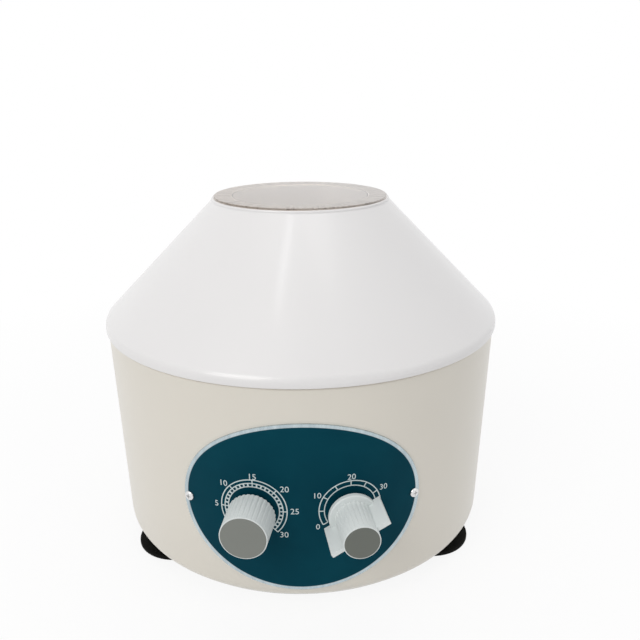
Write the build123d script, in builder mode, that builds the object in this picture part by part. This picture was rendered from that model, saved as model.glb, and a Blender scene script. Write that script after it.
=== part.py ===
from build123d import *
import os
from math import atan, atan2, cos, degrees, pi, radians, sin, tan

os.makedirs("parts", exist_ok=True)

# A bench centrifuge: a round drum on three suction feet, closed by a coned lid with a round window.
# The origin is on the rotor axis at the table. The front, with the two dials, faces -Y, and +Z is up.
# Every azimuth is in degrees from the front, positive towards +X.

# Clearances between pieces that fit each other
running_gap = 0.05
seat_gap = 0.02
lid_rest_gap = 0.3
hole_clearance = 0.3

# Small rounded edges, from the finest to the widest
fine_edge = 0.3
soft_edge = 0.5
round_edge = 0.8
wide_edge = 1.2
bend_round = 2.0

# How far a cut runs past the faces that it goes through
cut_past = 1.0
wall_cut = 9.0

# Drum
ground_clearance = 9.0
drum_height = 137.2
drum_top_radius = 128.5
drum_taper = 3.5
drum_bottom_radius = drum_top_radius - drum_taper
drum_wall = 1.5
drum_corner = 9.0
drum_edge_round = 1.2
base_lip_width = 12.0

# Bottom plate and its screws
plate_thickness = 1.5
plate_overlap = 2.3
base_screw_inset = 6.5
base_screw_count = 6
vent_count = 12
vent_length = 22.0
vent_width = 4.0
vent_radius = 76.0
vent_start = 15.0

# Suction feet
foot_radius = 27.0
foot_inset = 26.5
foot_circle_radius = drum_bottom_radius - foot_inset
foot_lip_height = 2.6
foot_neck_radius = 10.0
foot_neck_height = 1.2
foot_cup_depth = 1.2
foot_cup_edge = 6.0
foot_cup_radius = foot_radius - foot_cup_edge
foot_cup_slope = 1.5
foot_count = 3

# Chamber bowl
bowl_wall = 1.2
bowl_margin = 17.7
bowl_taper = 4.8
bowl_mouth_radius = drum_top_radius - bowl_margin
bowl_floor_radius = bowl_mouth_radius - bowl_taper
bowl_over_motor = 4.0
bowl_corner = 10.0
bowl_flange_width = 7.6
bowl_collar_radius = 12.8
bowl_collar_height = 8.0
bowl_screw_count = 6

# Rubber pieces at the chamber
gasket_width = 4.2
gasket_height = 0.9
gasket_gap = 0.8
seal_thickness = 1.6
seal_skirt = 4.0
seal_top = 2.5
seal_bore_gap = 1.2

# Lid
lid_overhang = 1.5
lid_rim_radius = drum_top_radius + lid_overhang
lid_shoulder_height = 4.7
lid_cone_height = 73.1
lid_collar_height = 1.6
lid_top_radius = 57.8
lid_wall = 2.5
lid_shoulder_round = 6.0
lid_top_round = 0.9
lid_ledge_thickness = 2.0
lid_ledge_inset = 9.8
window_seat_width = 13.3
window_edge_step = 1.4
lid_opening_radius = lid_top_radius - window_seat_width
window_radius = lid_top_radius - window_edge_step
window_thickness = 1.2
window_spigot_depth = 2.0
window_fit = 0.15

# Lid hinge
hinge_offset = 4.5
hinge_height_above_rim = 4.0
hinge_pin_radius = 1.5
hinge_knuckle_radius = 3.4
hinge_leaf_thickness = 2.2
hinge_leaf_length = 25.0
hinge_lid_leaf_width = 22.0
hinge_ear_width = 8.0
hinge_side_gap = 0.4
hinge_pin_head = 1.2
hinge_pin_head_rim = 1.0
hinge_screw_spread = 14.0
hinge_screw_rise = 8.0
hinge_plate_drop = 6.0
hinge_ear_drop = 16.0
hinge_leaf_screw_spread = 6.0
hinge_leaf_screw_reach = 15.0
hinge_root = 3.0

# Control panel
panel_half_width = 71.3
panel_half_height = 54.2
panel_thickness = 1.0
panel_centre_height = 71.9
panel_screw_inset = 3.4
panel_screw_arc = panel_half_width - panel_screw_inset
panel_outline_points = 36

# Dials, timer and speed control
dial_arc = 27.5
dial_axis_azimuth = 8.55
dial_height = 71.0
bushing_radius = 4.8
bushing_reach = 4.1
dial_nut_across = 14.0
dial_nut_thickness = 3.0
dial_shaft_radius = 3.0
dial_shaft_in_knob = 12.0
timer_case_side = 44.0
timer_case_depth = 28.0
timer_case_drop = 8.0
case_wall = 1.5
case_gap = 0.3
spring_drum_radius = 9.0
shaft_end_gap = 2.0
speed_case_radius = 14.0
wiper_radius = 9.0
speed_case_depth = 13.0

# Timer knob
timer_knob_radius = 13.6
timer_knob_length = 20.5
timer_knob_standoff = 4.5
timer_flute_count = 32
flute_radius = 0.9
flute_depth = 0.6
knob_taper = 0.5
cap_edge = 0.6
cap_thickness = 1.6
cap_proud = 0.3

# Speed knob
speed_knob_radius = 10.6
speed_knob_length = 25.0
speed_knob_standoff = 5.0
speed_flute_count = 26
speed_skirt_radius = 13.7
speed_skirt_thickness = 3.0
speed_wing_reach = 17.8
speed_wing_length = 21.8
speed_wing_thickness = 2.6
speed_zero_angle = -120.0

# Motor
mount_height = 10.0
mount_count = 3
mount_waist = 1.5
mount_waist_share = 0.2
mount_radius = 7.5
mount_beyond_motor = 8.0
mount_bolt_radius = 2.5
bracket_thickness = 2.5
bracket_hole_radius = 30.0
motor_radius = 42.0
motor_wall = 2.0
lower_cap_height = 20.5
shell_height = 30.0
upper_cap_height = 12.0
cap_wall = 3.0
cap_slot_count = 9
cap_slot_start = 20.0
cap_slot_length = 14.0
cap_slot_width = 5.0
tie_beyond_motor = 5.5
tie_bolt_radius = 2.0
tie_bolt_short = 1.0
tie_ear_radius = 5.0
tie_count = 3
bearing_bore_radius = 5.0
bearing_outer_radius = 15.0
bearing_width = 9.0
bearing_ring_thickness = 2.6
bearing_ball_radius = 2.3
bearing_ball_count = 9
armature_radius = 24.0
armature_length = 16.0
armature_shaft_radius = 7.0
shoulder_past = 1.0
armature_slots = 12
slot_depth = 3.5
slot_radius = 2.0
slot_mouth = 1.2
slot_filling_radius = 1.9
commutator_slot_depth = 1.2
commutator_slot_width = 0.5
air_gap = 1.0
field_yoke = 6.5
field_pole_width = 26.0
coil_height = 3.0
coil_side = 4.0
commutator_radius = 10.0
commutator_length = 7.0
brush_side = 6.0
brush_tube_wall = 1.0
brush_height_in_cap = 15.5
brush_length = 17.7
brush_gap = 0.3
fan_radius = 33.0
fan_height = 4.0
fan_blades = 10
fan_thickness = 1.2
fan_hub_wall = 3.0
fan_blade_cut = 3.0

# Rotor head, its sleeves and its nut
shaft_end_radius = 4.0
rotor_hub_radius = 14.0
rotor_hub_height = 22.0
rotor_rim_inset = 10.0
rotor_plate = 6.0
rotor_hub_round = 3.0
spot_face_clear = 12.0
sleeve_hole_cut = 20.0
tube_count = 6
tube_tilt = 35.0
tube_bore_radius = 11.25
sleeve_wall = 1.2
sleeve_to_bowl = 18.0
sleeve_over_bowl = 19.0
sleeve_below = 11.0
sleeve_length = 60.0
sleeve_flange_radius = 15.0
sleeve_flange_thickness = 2.0
sleeve_fit = 0.1
sleeve_corner = 4.2
spot_face_depth = 1.5
cushion_radius = 7.0
cushion_thickness = 3.0
rotor_nut_radius = 11.0
rotor_nut_height = 13.0
rotor_thread_length = 9.0
rotor_nut_round = 3.0
rotor_nut_flutes = 12
rotor_nut_flute_radius = 2.0
rotor_nut_flute_depth = 0.8

# Control board
board_width = 40.0
board_length = 52.0
board_thickness = 1.6
board_to_wall = 47.0
board_centre_y = 14.0
board_post_height = 14.0
board_post_radius = 3.0
board_post_inset = 4.0
board_post_tip = 2.0
board_post_barb = 0.8
heat_sink_width = 30.0
heat_sink_depth = 14.0
heat_sink_height = 26.0
heat_sink_fins = 6
heat_sink_fin_thickness = 1.5
heat_sink_end_gap = 8.0
heat_sink_side_gap = 3.0
triac_width = 10.0
triac_thickness = 4.5
triac_height = 16.0
triac_leg_height = 3.0
triac_leg_pitch = 2.5
triac_leg_side = 0.7

# Mains inlet and fuse holder on the rear wall
inlet_azimuth = 166.0
inlet_height = 52.0
inlet_flange_width = 23.0
inlet_flange_height = 50.0
inlet_flange_thickness = 2.5
inlet_body_width = 19.6
inlet_body_height = 27.4
inlet_depth = 21.0
inlet_socket_width = 16.4
inlet_socket_height = 24.2
inlet_socket_depth = 17.0
inlet_pin_recess = 5.0
inlet_pin_width = 4.0
inlet_pin_thickness = 2.0
inlet_pin_tab = 6.0
inlet_pin_step = 2.0
inlet_pin_spread = 7.0
inlet_screw_extra = 2.0
inlet_screw_pitch = 40.0
fuse_azimuth = 194.0
fuse_height = 52.0
fuse_flange_radius = 8.5
fuse_flange_thickness = 2.0
fuse_body_radius = 6.2
fuse_body_length = 30.0
fuse_cap_radius = 6.0
fuse_cap_height = 5.0
fuse_cap_stem = 10.0
fuse_stem_radius = 3.4
fuse_end_wall = 2.0
fuse_slot_width = 1.4
fuse_slot_depth = 1.5

# Screws: the radius of the shank, the radius of the head and the height of the head
small_screw = (1.5, 2.9, 1.8)
base_screw = (2.0, 3.8, 2.2)
foot_screw = (2.5, 4.8, 2.6)
nut_across = 8.0
nut_thickness = 3.2
small_screw_length = 7.0
head_round_share = 0.6
thread_past = 3.0
nut_thread_past = 1.0

# Heights and radii that follow from the sizes above
screw_hole = small_screw[0] + seat_gap
screw_pass = small_screw[0] + hole_clearance
drum_top = ground_clearance + drum_height
plate_radius = drum_bottom_radius - drum_corner + plate_overlap
base_opening_radius = drum_bottom_radius - drum_corner - base_lip_width
base_screw_radius = plate_radius - base_screw_inset
plate_bottom = ground_clearance - plate_thickness
bowl_mouth_outer = bowl_mouth_radius + bowl_wall
bowl_flange_radius = bowl_mouth_outer + bowl_flange_width
bowl_screw_radius = bowl_mouth_outer + bowl_flange_width / 2
drum_mouth_radius = bowl_mouth_outer + hole_clearance
gasket_inner = bowl_flange_radius + gasket_gap
lid_bottom = drum_top + lid_rest_gap
lid_shoulder = lid_bottom + lid_shoulder_height
lid_cone_top = lid_shoulder + lid_cone_height
lid_top = lid_cone_top + lid_collar_height
lid_slope = atan2(lid_cone_height, lid_rim_radius - lid_top_radius)
ledge_bottom = drum_top + gasket_height + lid_rest_gap
ledge_top = ledge_bottom + lid_ledge_thickness
hinge_y = lid_rim_radius + hinge_offset
hinge_z = lid_bottom + hinge_height_above_rim
wall_lean = atan((drum_top_radius - drum_bottom_radius) / drum_height)
dial_azimuth = degrees(dial_arc / drum_top_radius)
dial_toe = radians(dial_azimuth - dial_axis_azimuth)
panel_screw_azimuth = degrees(panel_screw_arc / drum_top_radius)

bracket_bottom = ground_clearance + mount_height
motor_bottom = bracket_bottom + bracket_thickness
shell_bottom = motor_bottom + lower_cap_height
shell_top = shell_bottom + shell_height
motor_top = shell_top + upper_cap_height
bowl_floor_height = motor_top + bowl_over_motor
mount_circle_radius = motor_radius + mount_beyond_motor
bracket_radius = mount_circle_radius + mount_radius
tie_circle_radius = motor_radius + tie_beyond_motor
board_centre_x = board_to_wall - drum_bottom_radius
lower_bearing_bottom = motor_bottom + cap_wall / 2
upper_bearing_bottom = motor_top - cap_wall / 2 - bearing_width
brush_height = motor_bottom + brush_height_in_cap
armature_bottom = shell_bottom + coil_height + 2 * air_gap
armature_top = armature_bottom + armature_length
field_outer = motor_radius - motor_wall - seat_gap
fan_bottom = shell_top - fan_height - air_gap

tilt = radians(tube_tilt)
sleeve_end_radius = bowl_floor_radius - sleeve_to_bowl
sleeve_end_height = bowl_floor_height + sleeve_over_bowl
rotor_rim_radius = sleeve_end_radius - rotor_rim_inset
sleeve_radius = tube_bore_radius + sleeve_wall
flange_bottom = sleeve_length - sleeve_flange_thickness
rotor_seat_radius = sleeve_end_radius - (flange_bottom + spot_face_depth) * sin(tilt)
rotor_seat_height = sleeve_end_height + (flange_bottom + spot_face_depth) * cos(tilt)
plate_rise = rotor_plate / cos(tilt)
hub_bottom = rotor_seat_height - (rotor_seat_radius - rotor_hub_radius) * tan(tilt) - plate_rise
hub_top = hub_bottom + rotor_hub_height


def wall_radius(height):
    """Outer radius of the drum at a height, without its rounded corner."""
    rise = (height - ground_clearance) / drum_height
    return drum_bottom_radius + (drum_top_radius - drum_bottom_radius) * rise


def wall_plane(azimuth, height, proud=0.0):
    """A plane on the drum wall, with its Z out of the wall and its Y up the wall."""
    angle = radians(azimuth)
    reach = wall_radius(height) + proud / cos(wall_lean)
    outward = Vector(sin(angle) * cos(wall_lean), -cos(angle) * cos(wall_lean), -sin(wall_lean))
    spot = (reach * sin(angle), -reach * cos(angle), height)
    return Plane(origin=spot, x_dir=(cos(angle), sin(angle), 0), z_dir=outward)


def dial_plane(side):
    """The plane of a dial on the panel, whose shaft leans a little towards the middle of the front."""
    spot = wall_plane(side * dial_azimuth, dial_height, panel_thickness).origin
    leaning = wall_plane(side * dial_axis_azimuth, dial_height)
    return Plane(origin=spot, x_dir=leaning.x_dir, z_dir=leaning.z_dir)


def upright_plane(azimuth, radius, height):
    """A level plane at a place on a circle about the rotor axis."""
    angle = radians(azimuth)
    spot = (radius * sin(angle), -radius * cos(angle), height)
    return Plane(origin=spot, x_dir=(cos(angle), sin(angle), 0), z_dir=(0, 0, 1))


def sleeve_plane(azimuth):
    """The plane of a tube sleeve, at the centre of its lower end, with Z out of its mouth."""
    angle = radians(azimuth)
    spot = (sleeve_end_radius * sin(angle), -sleeve_end_radius * cos(angle), sleeve_end_height)
    mouth_way = (-sin(tilt) * sin(angle), sin(tilt) * cos(angle), cos(tilt))
    return Plane(origin=spot, x_dir=(cos(angle), sin(angle), 0), z_dir=mouth_way)


def dish_top(radius):
    """Height of the upper face of the rotor's dish at a radius."""
    return rotor_seat_height + (radius - rotor_seat_radius) * tan(tilt)


def spread(count, start=0.0):
    """Even azimuths round the rotor axis."""
    return [start + 360 * turn_index / count for turn_index in range(count)]


def turn(corners, base=Plane.XY, mode=Mode.ADD):
    """Revolve a closed outline of (radius, height, rounding) corners about the Z of a plane."""
    side = Plane(origin=base.origin, x_dir=base.x_dir, z_dir=base.y_dir * -1)
    with BuildSketch(side) as outline:
        with BuildLine():
            points = [(radius, height) for radius, height, rounding in corners]
            FilletPolyline(*points, radius=[rounding for *place, rounding in corners], close=True)
        make_face()
    revolve(outline.sketch, axis=Axis(base.origin, base.z_dir), mode=mode)


def rod(base, radius, low, high, mode=Mode.ADD):
    """A round bar along the Z of a plane."""
    with BuildSketch(base.offset(low)) as outline:
        Circle(radius)
    extrude(outline.sketch, amount=high - low, mode=mode)


def block(base, width, length, low, high, mode=Mode.ADD):
    """A rectangular bar along the Z of a plane."""
    with BuildSketch(base.offset(low)) as outline:
        Rectangle(width, length)
    extrude(outline.sketch, amount=high - low, mode=mode)


def hex_bar(base, across, low, high):
    """A six-sided bar along the Z of a plane."""
    with BuildSketch(base.offset(low)) as outline:
        RegularPolygon(across / 2, 6, major_radius=False)
    extrude(outline.sketch, amount=high - low)


def pan_screw(base, size, length):
    """A screw whose head stands on a plane and whose shank goes in below it."""
    shank, head, rise = size
    corners = [(0, -length, 0), (shank, -length, 0), (shank, 0, 0), (head, 0, 0)]
    turn(corners + [(head, rise, rise * head_round_share), (0, rise, 0)], base)


def slot_cross(base, head_radius, rise):
    """The cross recess in the head of a screw."""
    for across, along in ((head_radius, head_radius / 4), (head_radius / 4, head_radius)):
        block(base, across, along, rise / 2, rise + cut_past, mode=Mode.SUBTRACT)


# Places that several pieces share
timer_plane = dial_plane(-1)
speed_plane = dial_plane(1)
dial_nut_lift = (wall_radius(dial_height) + panel_thickness) * (1 - cos(dial_toe)) + seat_gap
panel_screw_planes = [
    wall_plane(side * panel_screw_azimuth, panel_centre_height, panel_thickness) for side in (-1, 1)
]
inlet_plane = wall_plane(inlet_azimuth, inlet_height)
inlet_screw_planes = [
    wall_plane(inlet_azimuth, inlet_height + side * inlet_screw_pitch / 2, inlet_flange_thickness)
    for side in (-1, 1)
]
fuse_plane = wall_plane(fuse_azimuth, fuse_height)
foot_azimuths = spread(foot_count, 180)
base_screw_azimuths = spread(base_screw_count, 180 / base_screw_count)
bowl_screw_azimuths = spread(bowl_screw_count, 180 / bowl_screw_count)
mount_azimuths = spread(mount_count)
tie_azimuths = spread(tie_count, 180 / tie_count)
tube_azimuths = spread(tube_count, 180 / tube_count)
hinge_plate_top = drum_top - hinge_plate_drop
hinge_leaf_bottom = hinge_plate_top - hinge_leaf_length
hinge_screw_height = hinge_leaf_bottom + hinge_screw_rise
hinge_screw_planes = [
    Plane(
        origin=(side * hinge_screw_spread, wall_radius(hinge_screw_height) + hinge_leaf_thickness,
                hinge_screw_height),
        x_dir=(-1, 0, 0), z_dir=(0, cos(wall_lean), -sin(wall_lean)))
    for side in (-1, 1)
]
hinge_axis_plane = Plane(origin=(0, hinge_y, hinge_z), x_dir=(0, 1, 0), z_dir=(1, 0, 0))
hinge_slope_plane = Plane(
    origin=(0, lid_rim_radius, lid_shoulder), x_dir=(-1, 0, 0),
    z_dir=(0, sin(lid_slope), cos(lid_slope)))
hinge_leaf_planes = [
    Plane(
        origin=hinge_slope_plane.offset(hinge_leaf_thickness).from_local_coords(
            (side * hinge_leaf_screw_spread, hinge_leaf_screw_reach, 0)),
        x_dir=hinge_slope_plane.x_dir, z_dir=hinge_slope_plane.z_dir)
    for side in (-1, 1)
]
board_corners = [
    (board_centre_x + side * (board_width / 2 - board_post_inset),
     board_centre_y + end * (board_length / 2 - board_post_inset))
    for side in (-1, 1) for end in (-1, 1)
]
board_bottom = ground_clearance + board_post_height

# Drum housing: one pressed shell with a rolled base lip and a top flange
with BuildPart() as drum_housing:
    inner_top = drum_top_radius - drum_wall
    inner_bottom = drum_bottom_radius - drum_wall
    turn([
        (base_opening_radius, ground_clearance, 0),
        (drum_bottom_radius, ground_clearance, drum_corner),
        (drum_top_radius, drum_top, drum_edge_round),
        (drum_mouth_radius, drum_top, 0),
        (drum_mouth_radius, drum_top - drum_wall, 0),
        (inner_top, drum_top - drum_wall, 0),
        (inner_bottom, ground_clearance + drum_wall, drum_corner - drum_wall),
        (base_opening_radius, ground_clearance + drum_wall, 0),
    ])
    for plane in (timer_plane, speed_plane):
        rod(plane, bushing_radius + hole_clearance, -wall_cut, wall_cut, mode=Mode.SUBTRACT)
    for plane in panel_screw_planes:
        rod(plane, screw_hole, -wall_cut, wall_cut, mode=Mode.SUBTRACT)
    for plane in inlet_screw_planes + hinge_screw_planes:
        rod(plane, screw_hole, -wall_cut, wall_cut, mode=Mode.SUBTRACT)
    cut_width = inlet_body_width + 2 * hole_clearance
    cut_height = inlet_body_height + 2 * hole_clearance
    block(inlet_plane, cut_width, cut_height, -wall_cut, wall_cut, mode=Mode.SUBTRACT)
    rod(fuse_plane, fuse_body_radius + hole_clearance, -wall_cut, wall_cut, mode=Mode.SUBTRACT)
    for azimuth in base_screw_azimuths:
        plane = upright_plane(azimuth, base_screw_radius, ground_clearance)
        rod(plane, base_screw[0] + seat_gap, -wall_cut, wall_cut, mode=Mode.SUBTRACT)
    for azimuth in bowl_screw_azimuths:
        plane = upright_plane(azimuth, bowl_screw_radius, drum_top)
        rod(plane, screw_hole, -wall_cut, wall_cut, mode=Mode.SUBTRACT)
drum_housing.part.label = "drum_housing"
export_step(drum_housing.part, "parts/drum_housing.step")

# Bottom plate, with air slots for the motor
with BuildPart() as bottom_plate:
    rod(Plane.XY, plate_radius, plate_bottom, ground_clearance)
    with BuildSketch(Plane.XY.offset(plate_bottom)):
        with PolarLocations(vent_radius, vent_count, start_angle=vent_start):
            SlotOverall(vent_length, vent_width)
    extrude(amount=plate_thickness, mode=Mode.SUBTRACT)
    for azimuth in base_screw_azimuths:
        plane = upright_plane(azimuth, base_screw_radius, plate_bottom)
        rod(plane, base_screw[0] + hole_clearance, -wall_cut, wall_cut, mode=Mode.SUBTRACT)
    for azimuth in foot_azimuths:
        plane = upright_plane(azimuth, foot_circle_radius, plate_bottom)
        rod(plane, foot_screw[0] + seat_gap, -wall_cut, wall_cut, mode=Mode.SUBTRACT)
    for azimuth in mount_azimuths:
        plane = upright_plane(azimuth, mount_circle_radius, plate_bottom)
        rod(plane, mount_bolt_radius + seat_gap, -wall_cut, wall_cut, mode=Mode.SUBTRACT)
bottom_plate.part.label = "bottom_plate"
export_step(bottom_plate.part, "parts/bottom_plate.step")

# Screws that hold the bottom plate to the lip of the drum
with BuildPart() as base_screws:
    for azimuth in base_screw_azimuths:
        plane = upright_plane(azimuth, base_screw_radius, plate_bottom)
        under = Plane(origin=plane.origin, x_dir=plane.x_dir, z_dir=(0, 0, -1))
        pan_screw(under, base_screw, plate_thickness + drum_wall + thread_past)
        slot_cross(under, base_screw[1], base_screw[2])
base_screws.part.label = "base_screws"
export_step(base_screws.part, "parts/base_screws.step")

# Rubber suction feet
with BuildPart() as rubber_feet:
    for azimuth in foot_azimuths:
        plane = upright_plane(azimuth, foot_circle_radius, 0)
        recess_top = foot_cup_depth + foot_screw[2]
        turn([
            (foot_screw[0] + seat_gap, recess_top, 0),
            (foot_screw[1] + hole_clearance, recess_top, 0),
            (foot_screw[1] + hole_clearance, foot_cup_depth, 0),
            (foot_cup_radius, foot_cup_depth, round_edge),
            (foot_cup_radius + foot_cup_slope, 0, 0),
            (foot_radius, 0, round_edge),
            (foot_radius, foot_lip_height, wide_edge),
            (foot_neck_radius, plate_bottom - foot_neck_height, soft_edge),
            (foot_neck_radius, plate_bottom, 0),
            (foot_screw[0] + seat_gap, plate_bottom, 0),
        ], plane)
rubber_feet.part.label = "rubber_feet"
export_step(rubber_feet.part, "parts/rubber_feet.step")

# Screws up through the feet
with BuildPart() as foot_screws:
    for azimuth in foot_azimuths:
        plane = upright_plane(azimuth, foot_circle_radius, foot_cup_depth + foot_screw[2])
        under = Plane(origin=plane.origin, x_dir=plane.x_dir, z_dir=(0, 0, -1))
        reach = ground_clearance + nut_thickness + nut_thread_past - plane.origin.Z
        pan_screw(under, foot_screw, reach)
        slot_cross(under, foot_screw[1], foot_screw[2])
foot_screws.part.label = "foot_screws"
export_step(foot_screws.part, "parts/foot_screws.step")

# Nuts on the foot screws and on the motor mount bolts
with BuildPart() as base_nuts:
    for azimuth in foot_azimuths:
        plane = upright_plane(azimuth, foot_circle_radius, ground_clearance)
        hex_bar(plane, nut_across, 0, nut_thickness)
        rod(plane, foot_screw[0] + seat_gap, -wall_cut, wall_cut, mode=Mode.SUBTRACT)
    for azimuth in mount_azimuths:
        plane = upright_plane(azimuth, mount_circle_radius, motor_bottom)
        hex_bar(plane, nut_across, 0, nut_thickness)
        rod(plane, mount_bolt_radius + seat_gap, -wall_cut, wall_cut, mode=Mode.SUBTRACT)
base_nuts.part.label = "base_nuts"
export_step(base_nuts.part, "parts/base_nuts.step")

# Chamber bowl, spun from sheet, with an upturned collar round the shaft
with BuildPart() as chamber_bowl:
    floor_top = bowl_floor_height + bowl_wall
    turn([
        (bowl_flange_radius, drum_top, 0),
        (bowl_flange_radius, drum_top + bowl_wall, soft_edge),
        (bowl_mouth_radius, drum_top + bowl_wall, 2 * bowl_wall),
        (bowl_floor_radius, floor_top, bowl_corner),
        (bowl_collar_radius + bowl_wall, floor_top, bend_round),
        (bowl_collar_radius + bowl_wall, floor_top + bowl_collar_height, soft_edge),
        (bowl_collar_radius, floor_top + bowl_collar_height, soft_edge),
        (bowl_collar_radius, bowl_floor_height, bend_round + bowl_wall),
        (bowl_floor_radius + bowl_wall, bowl_floor_height, bowl_corner + bowl_wall),
        (bowl_mouth_outer, drum_top, 0),
    ])
    for azimuth in bowl_screw_azimuths:
        plane = upright_plane(azimuth, bowl_screw_radius, drum_top)
        rod(plane, screw_pass, -wall_cut, wall_cut, mode=Mode.SUBTRACT)
chamber_bowl.part.label = "chamber_bowl"
export_step(chamber_bowl.part, "parts/chamber_bowl.step")

# Screws that hold the bowl's flange to the drum
with BuildPart() as bowl_screws:
    for azimuth in bowl_screw_azimuths:
        plane = upright_plane(azimuth, bowl_screw_radius, drum_top + bowl_wall)
        pan_screw(plane, small_screw, small_screw_length)
        slot_cross(plane, small_screw[1], small_screw[2])
bowl_screws.part.label = "bowl_screws"
export_step(bowl_screws.part, "parts/bowl_screws.step")

# Rubber gasket on the drum's flange, just under the ledge of the lid
with BuildPart() as rim_gasket:
    turn([
        (gasket_inner, drum_top, 0),
        (gasket_inner + gasket_width, drum_top, 0),
        (gasket_inner + gasket_width, drum_top + gasket_height, fine_edge),
        (gasket_inner, drum_top + gasket_height, fine_edge),
    ])
rim_gasket.part.label = "rim_gasket"
export_step(rim_gasket.part, "parts/rim_gasket.step")

# Rubber seal pressed over the bowl's collar
with BuildPart() as shaft_seal:
    collar_top = bowl_floor_height + bowl_wall + bowl_collar_height
    collar_outer = bowl_collar_radius + bowl_wall + seat_gap
    turn([
        (bearing_bore_radius + seal_bore_gap, collar_top, 0),
        (collar_outer, collar_top, 0),
        (collar_outer, collar_top - seal_skirt, 0),
        (collar_outer + seal_thickness, collar_top - seal_skirt, soft_edge),
        (collar_outer + seal_thickness, collar_top + seal_top, wide_edge),
        (bearing_bore_radius + seal_bore_gap, collar_top + seal_top, round_edge),
    ])
shaft_seal.part.label = "shaft_seal"
export_step(shaft_seal.part, "parts/shaft_seal.step")

# Lid: a cone between two short upright rims, with a ledge over the gasket and a lip for the window
with BuildPart() as lid_cone:
    cone_width = lid_wall / sin(lid_slope)
    under_lip = lid_top - lid_wall
    under_cone_top = lid_cone_top - under_lip
    inner_top_radius = lid_top_radius + under_cone_top / tan(lid_slope) - cone_width
    inner_rim_radius = lid_rim_radius - lid_wall
    inner_shoulder = lid_shoulder + tan(lid_slope) * (lid_wall - cone_width)
    turn([
        (lid_rim_radius, lid_bottom, round_edge),
        (lid_rim_radius, lid_shoulder, lid_shoulder_round),
        (lid_top_radius, lid_cone_top, soft_edge),
        (lid_top_radius, lid_top, lid_top_round),
        (lid_opening_radius, lid_top, fine_edge),
        (lid_opening_radius, under_lip, 0),
        (inner_top_radius, under_lip, wide_edge),
        (inner_rim_radius, inner_shoulder, 0),
        (inner_rim_radius, ledge_top, 0),
        (lid_rim_radius - lid_ledge_inset, ledge_top, soft_edge),
        (lid_rim_radius - lid_ledge_inset, ledge_bottom, soft_edge),
        (inner_rim_radius, ledge_bottom, 0),
        (inner_rim_radius, lid_bottom, soft_edge),
    ])
    for plane in hinge_leaf_planes:
        rod(plane, screw_hole, -wall_cut, wall_cut, mode=Mode.SUBTRACT)
lid_cone.part.label = "lid_cone"
export_step(lid_cone.part, "parts/lid_cone.step")

# Clear window: a disc on the lip with a spigot down into the opening
with BuildPart() as lid_window:
    spigot = lid_opening_radius - window_fit
    turn([
        (0, lid_top - window_spigot_depth, 0),
        (spigot, lid_top - window_spigot_depth, soft_edge),
        (spigot, lid_top, 0),
        (window_radius, lid_top, fine_edge),
        (window_radius, lid_top + window_thickness, soft_edge),
        (0, lid_top + window_thickness, 0),
    ])
lid_window.part.label = "lid_window"
export_step(lid_window.part, "parts/lid_window.step")

# Hinge bracket on the drum: a plate that follows the wall and two ears round the pin
with BuildPart() as body_hinge_bracket:
    half_width = hinge_lid_leaf_width / 2 + hinge_side_gap + hinge_ear_width
    with BuildSketch(Plane.YZ.offset(-half_width)):
        with BuildLine():
            Polyline(
                (wall_radius(hinge_leaf_bottom) - 2 * hinge_root, hinge_leaf_bottom),
                (wall_radius(hinge_leaf_bottom) + hinge_leaf_thickness, hinge_leaf_bottom),
                (wall_radius(hinge_plate_top) + hinge_leaf_thickness, hinge_plate_top),
                (wall_radius(hinge_plate_top) - 2 * hinge_root, hinge_plate_top),
                close=True)
        make_face()
    extrude(amount=2 * half_width)
    for start in (-half_width, hinge_lid_leaf_width / 2 + hinge_side_gap):
        with BuildSketch(Plane.YZ.offset(start)):
            with Locations((hinge_y, hinge_z)):
                Circle(hinge_knuckle_radius)
            with BuildLine():
                Polyline(
                    (wall_radius(drum_top) - hinge_root, drum_top - hinge_ear_drop),
                    (wall_radius(drum_top) + hinge_leaf_thickness, drum_top - hinge_ear_drop),
                    (hinge_y + hinge_knuckle_radius, hinge_z),
                    (hinge_y - hinge_knuckle_radius, hinge_z),
                    (wall_radius(drum_top) + hinge_leaf_thickness / 2, drum_top - hinge_root),
                    (wall_radius(drum_top) - hinge_root, drum_top - hinge_root),
                    close=True)
            make_face()
        extrude(amount=hinge_ear_width)
    turn([
        (0, 0, 0),
        (wall_radius(0) + seat_gap, 0, 0),
        (wall_radius(lid_top) + seat_gap, lid_top, 0),
        (0, lid_top, 0),
    ], mode=Mode.SUBTRACT)
    rod(hinge_axis_plane, hinge_pin_radius + seat_gap, -half_width - cut_past, half_width + cut_past,
        mode=Mode.SUBTRACT)
    for plane in hinge_screw_planes:
        rod(plane, screw_pass, -wall_cut, wall_cut, mode=Mode.SUBTRACT)
body_hinge_bracket.part.label = "body_hinge_bracket"
export_step(body_hinge_bracket.part, "parts/body_hinge_bracket.step")

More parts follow.
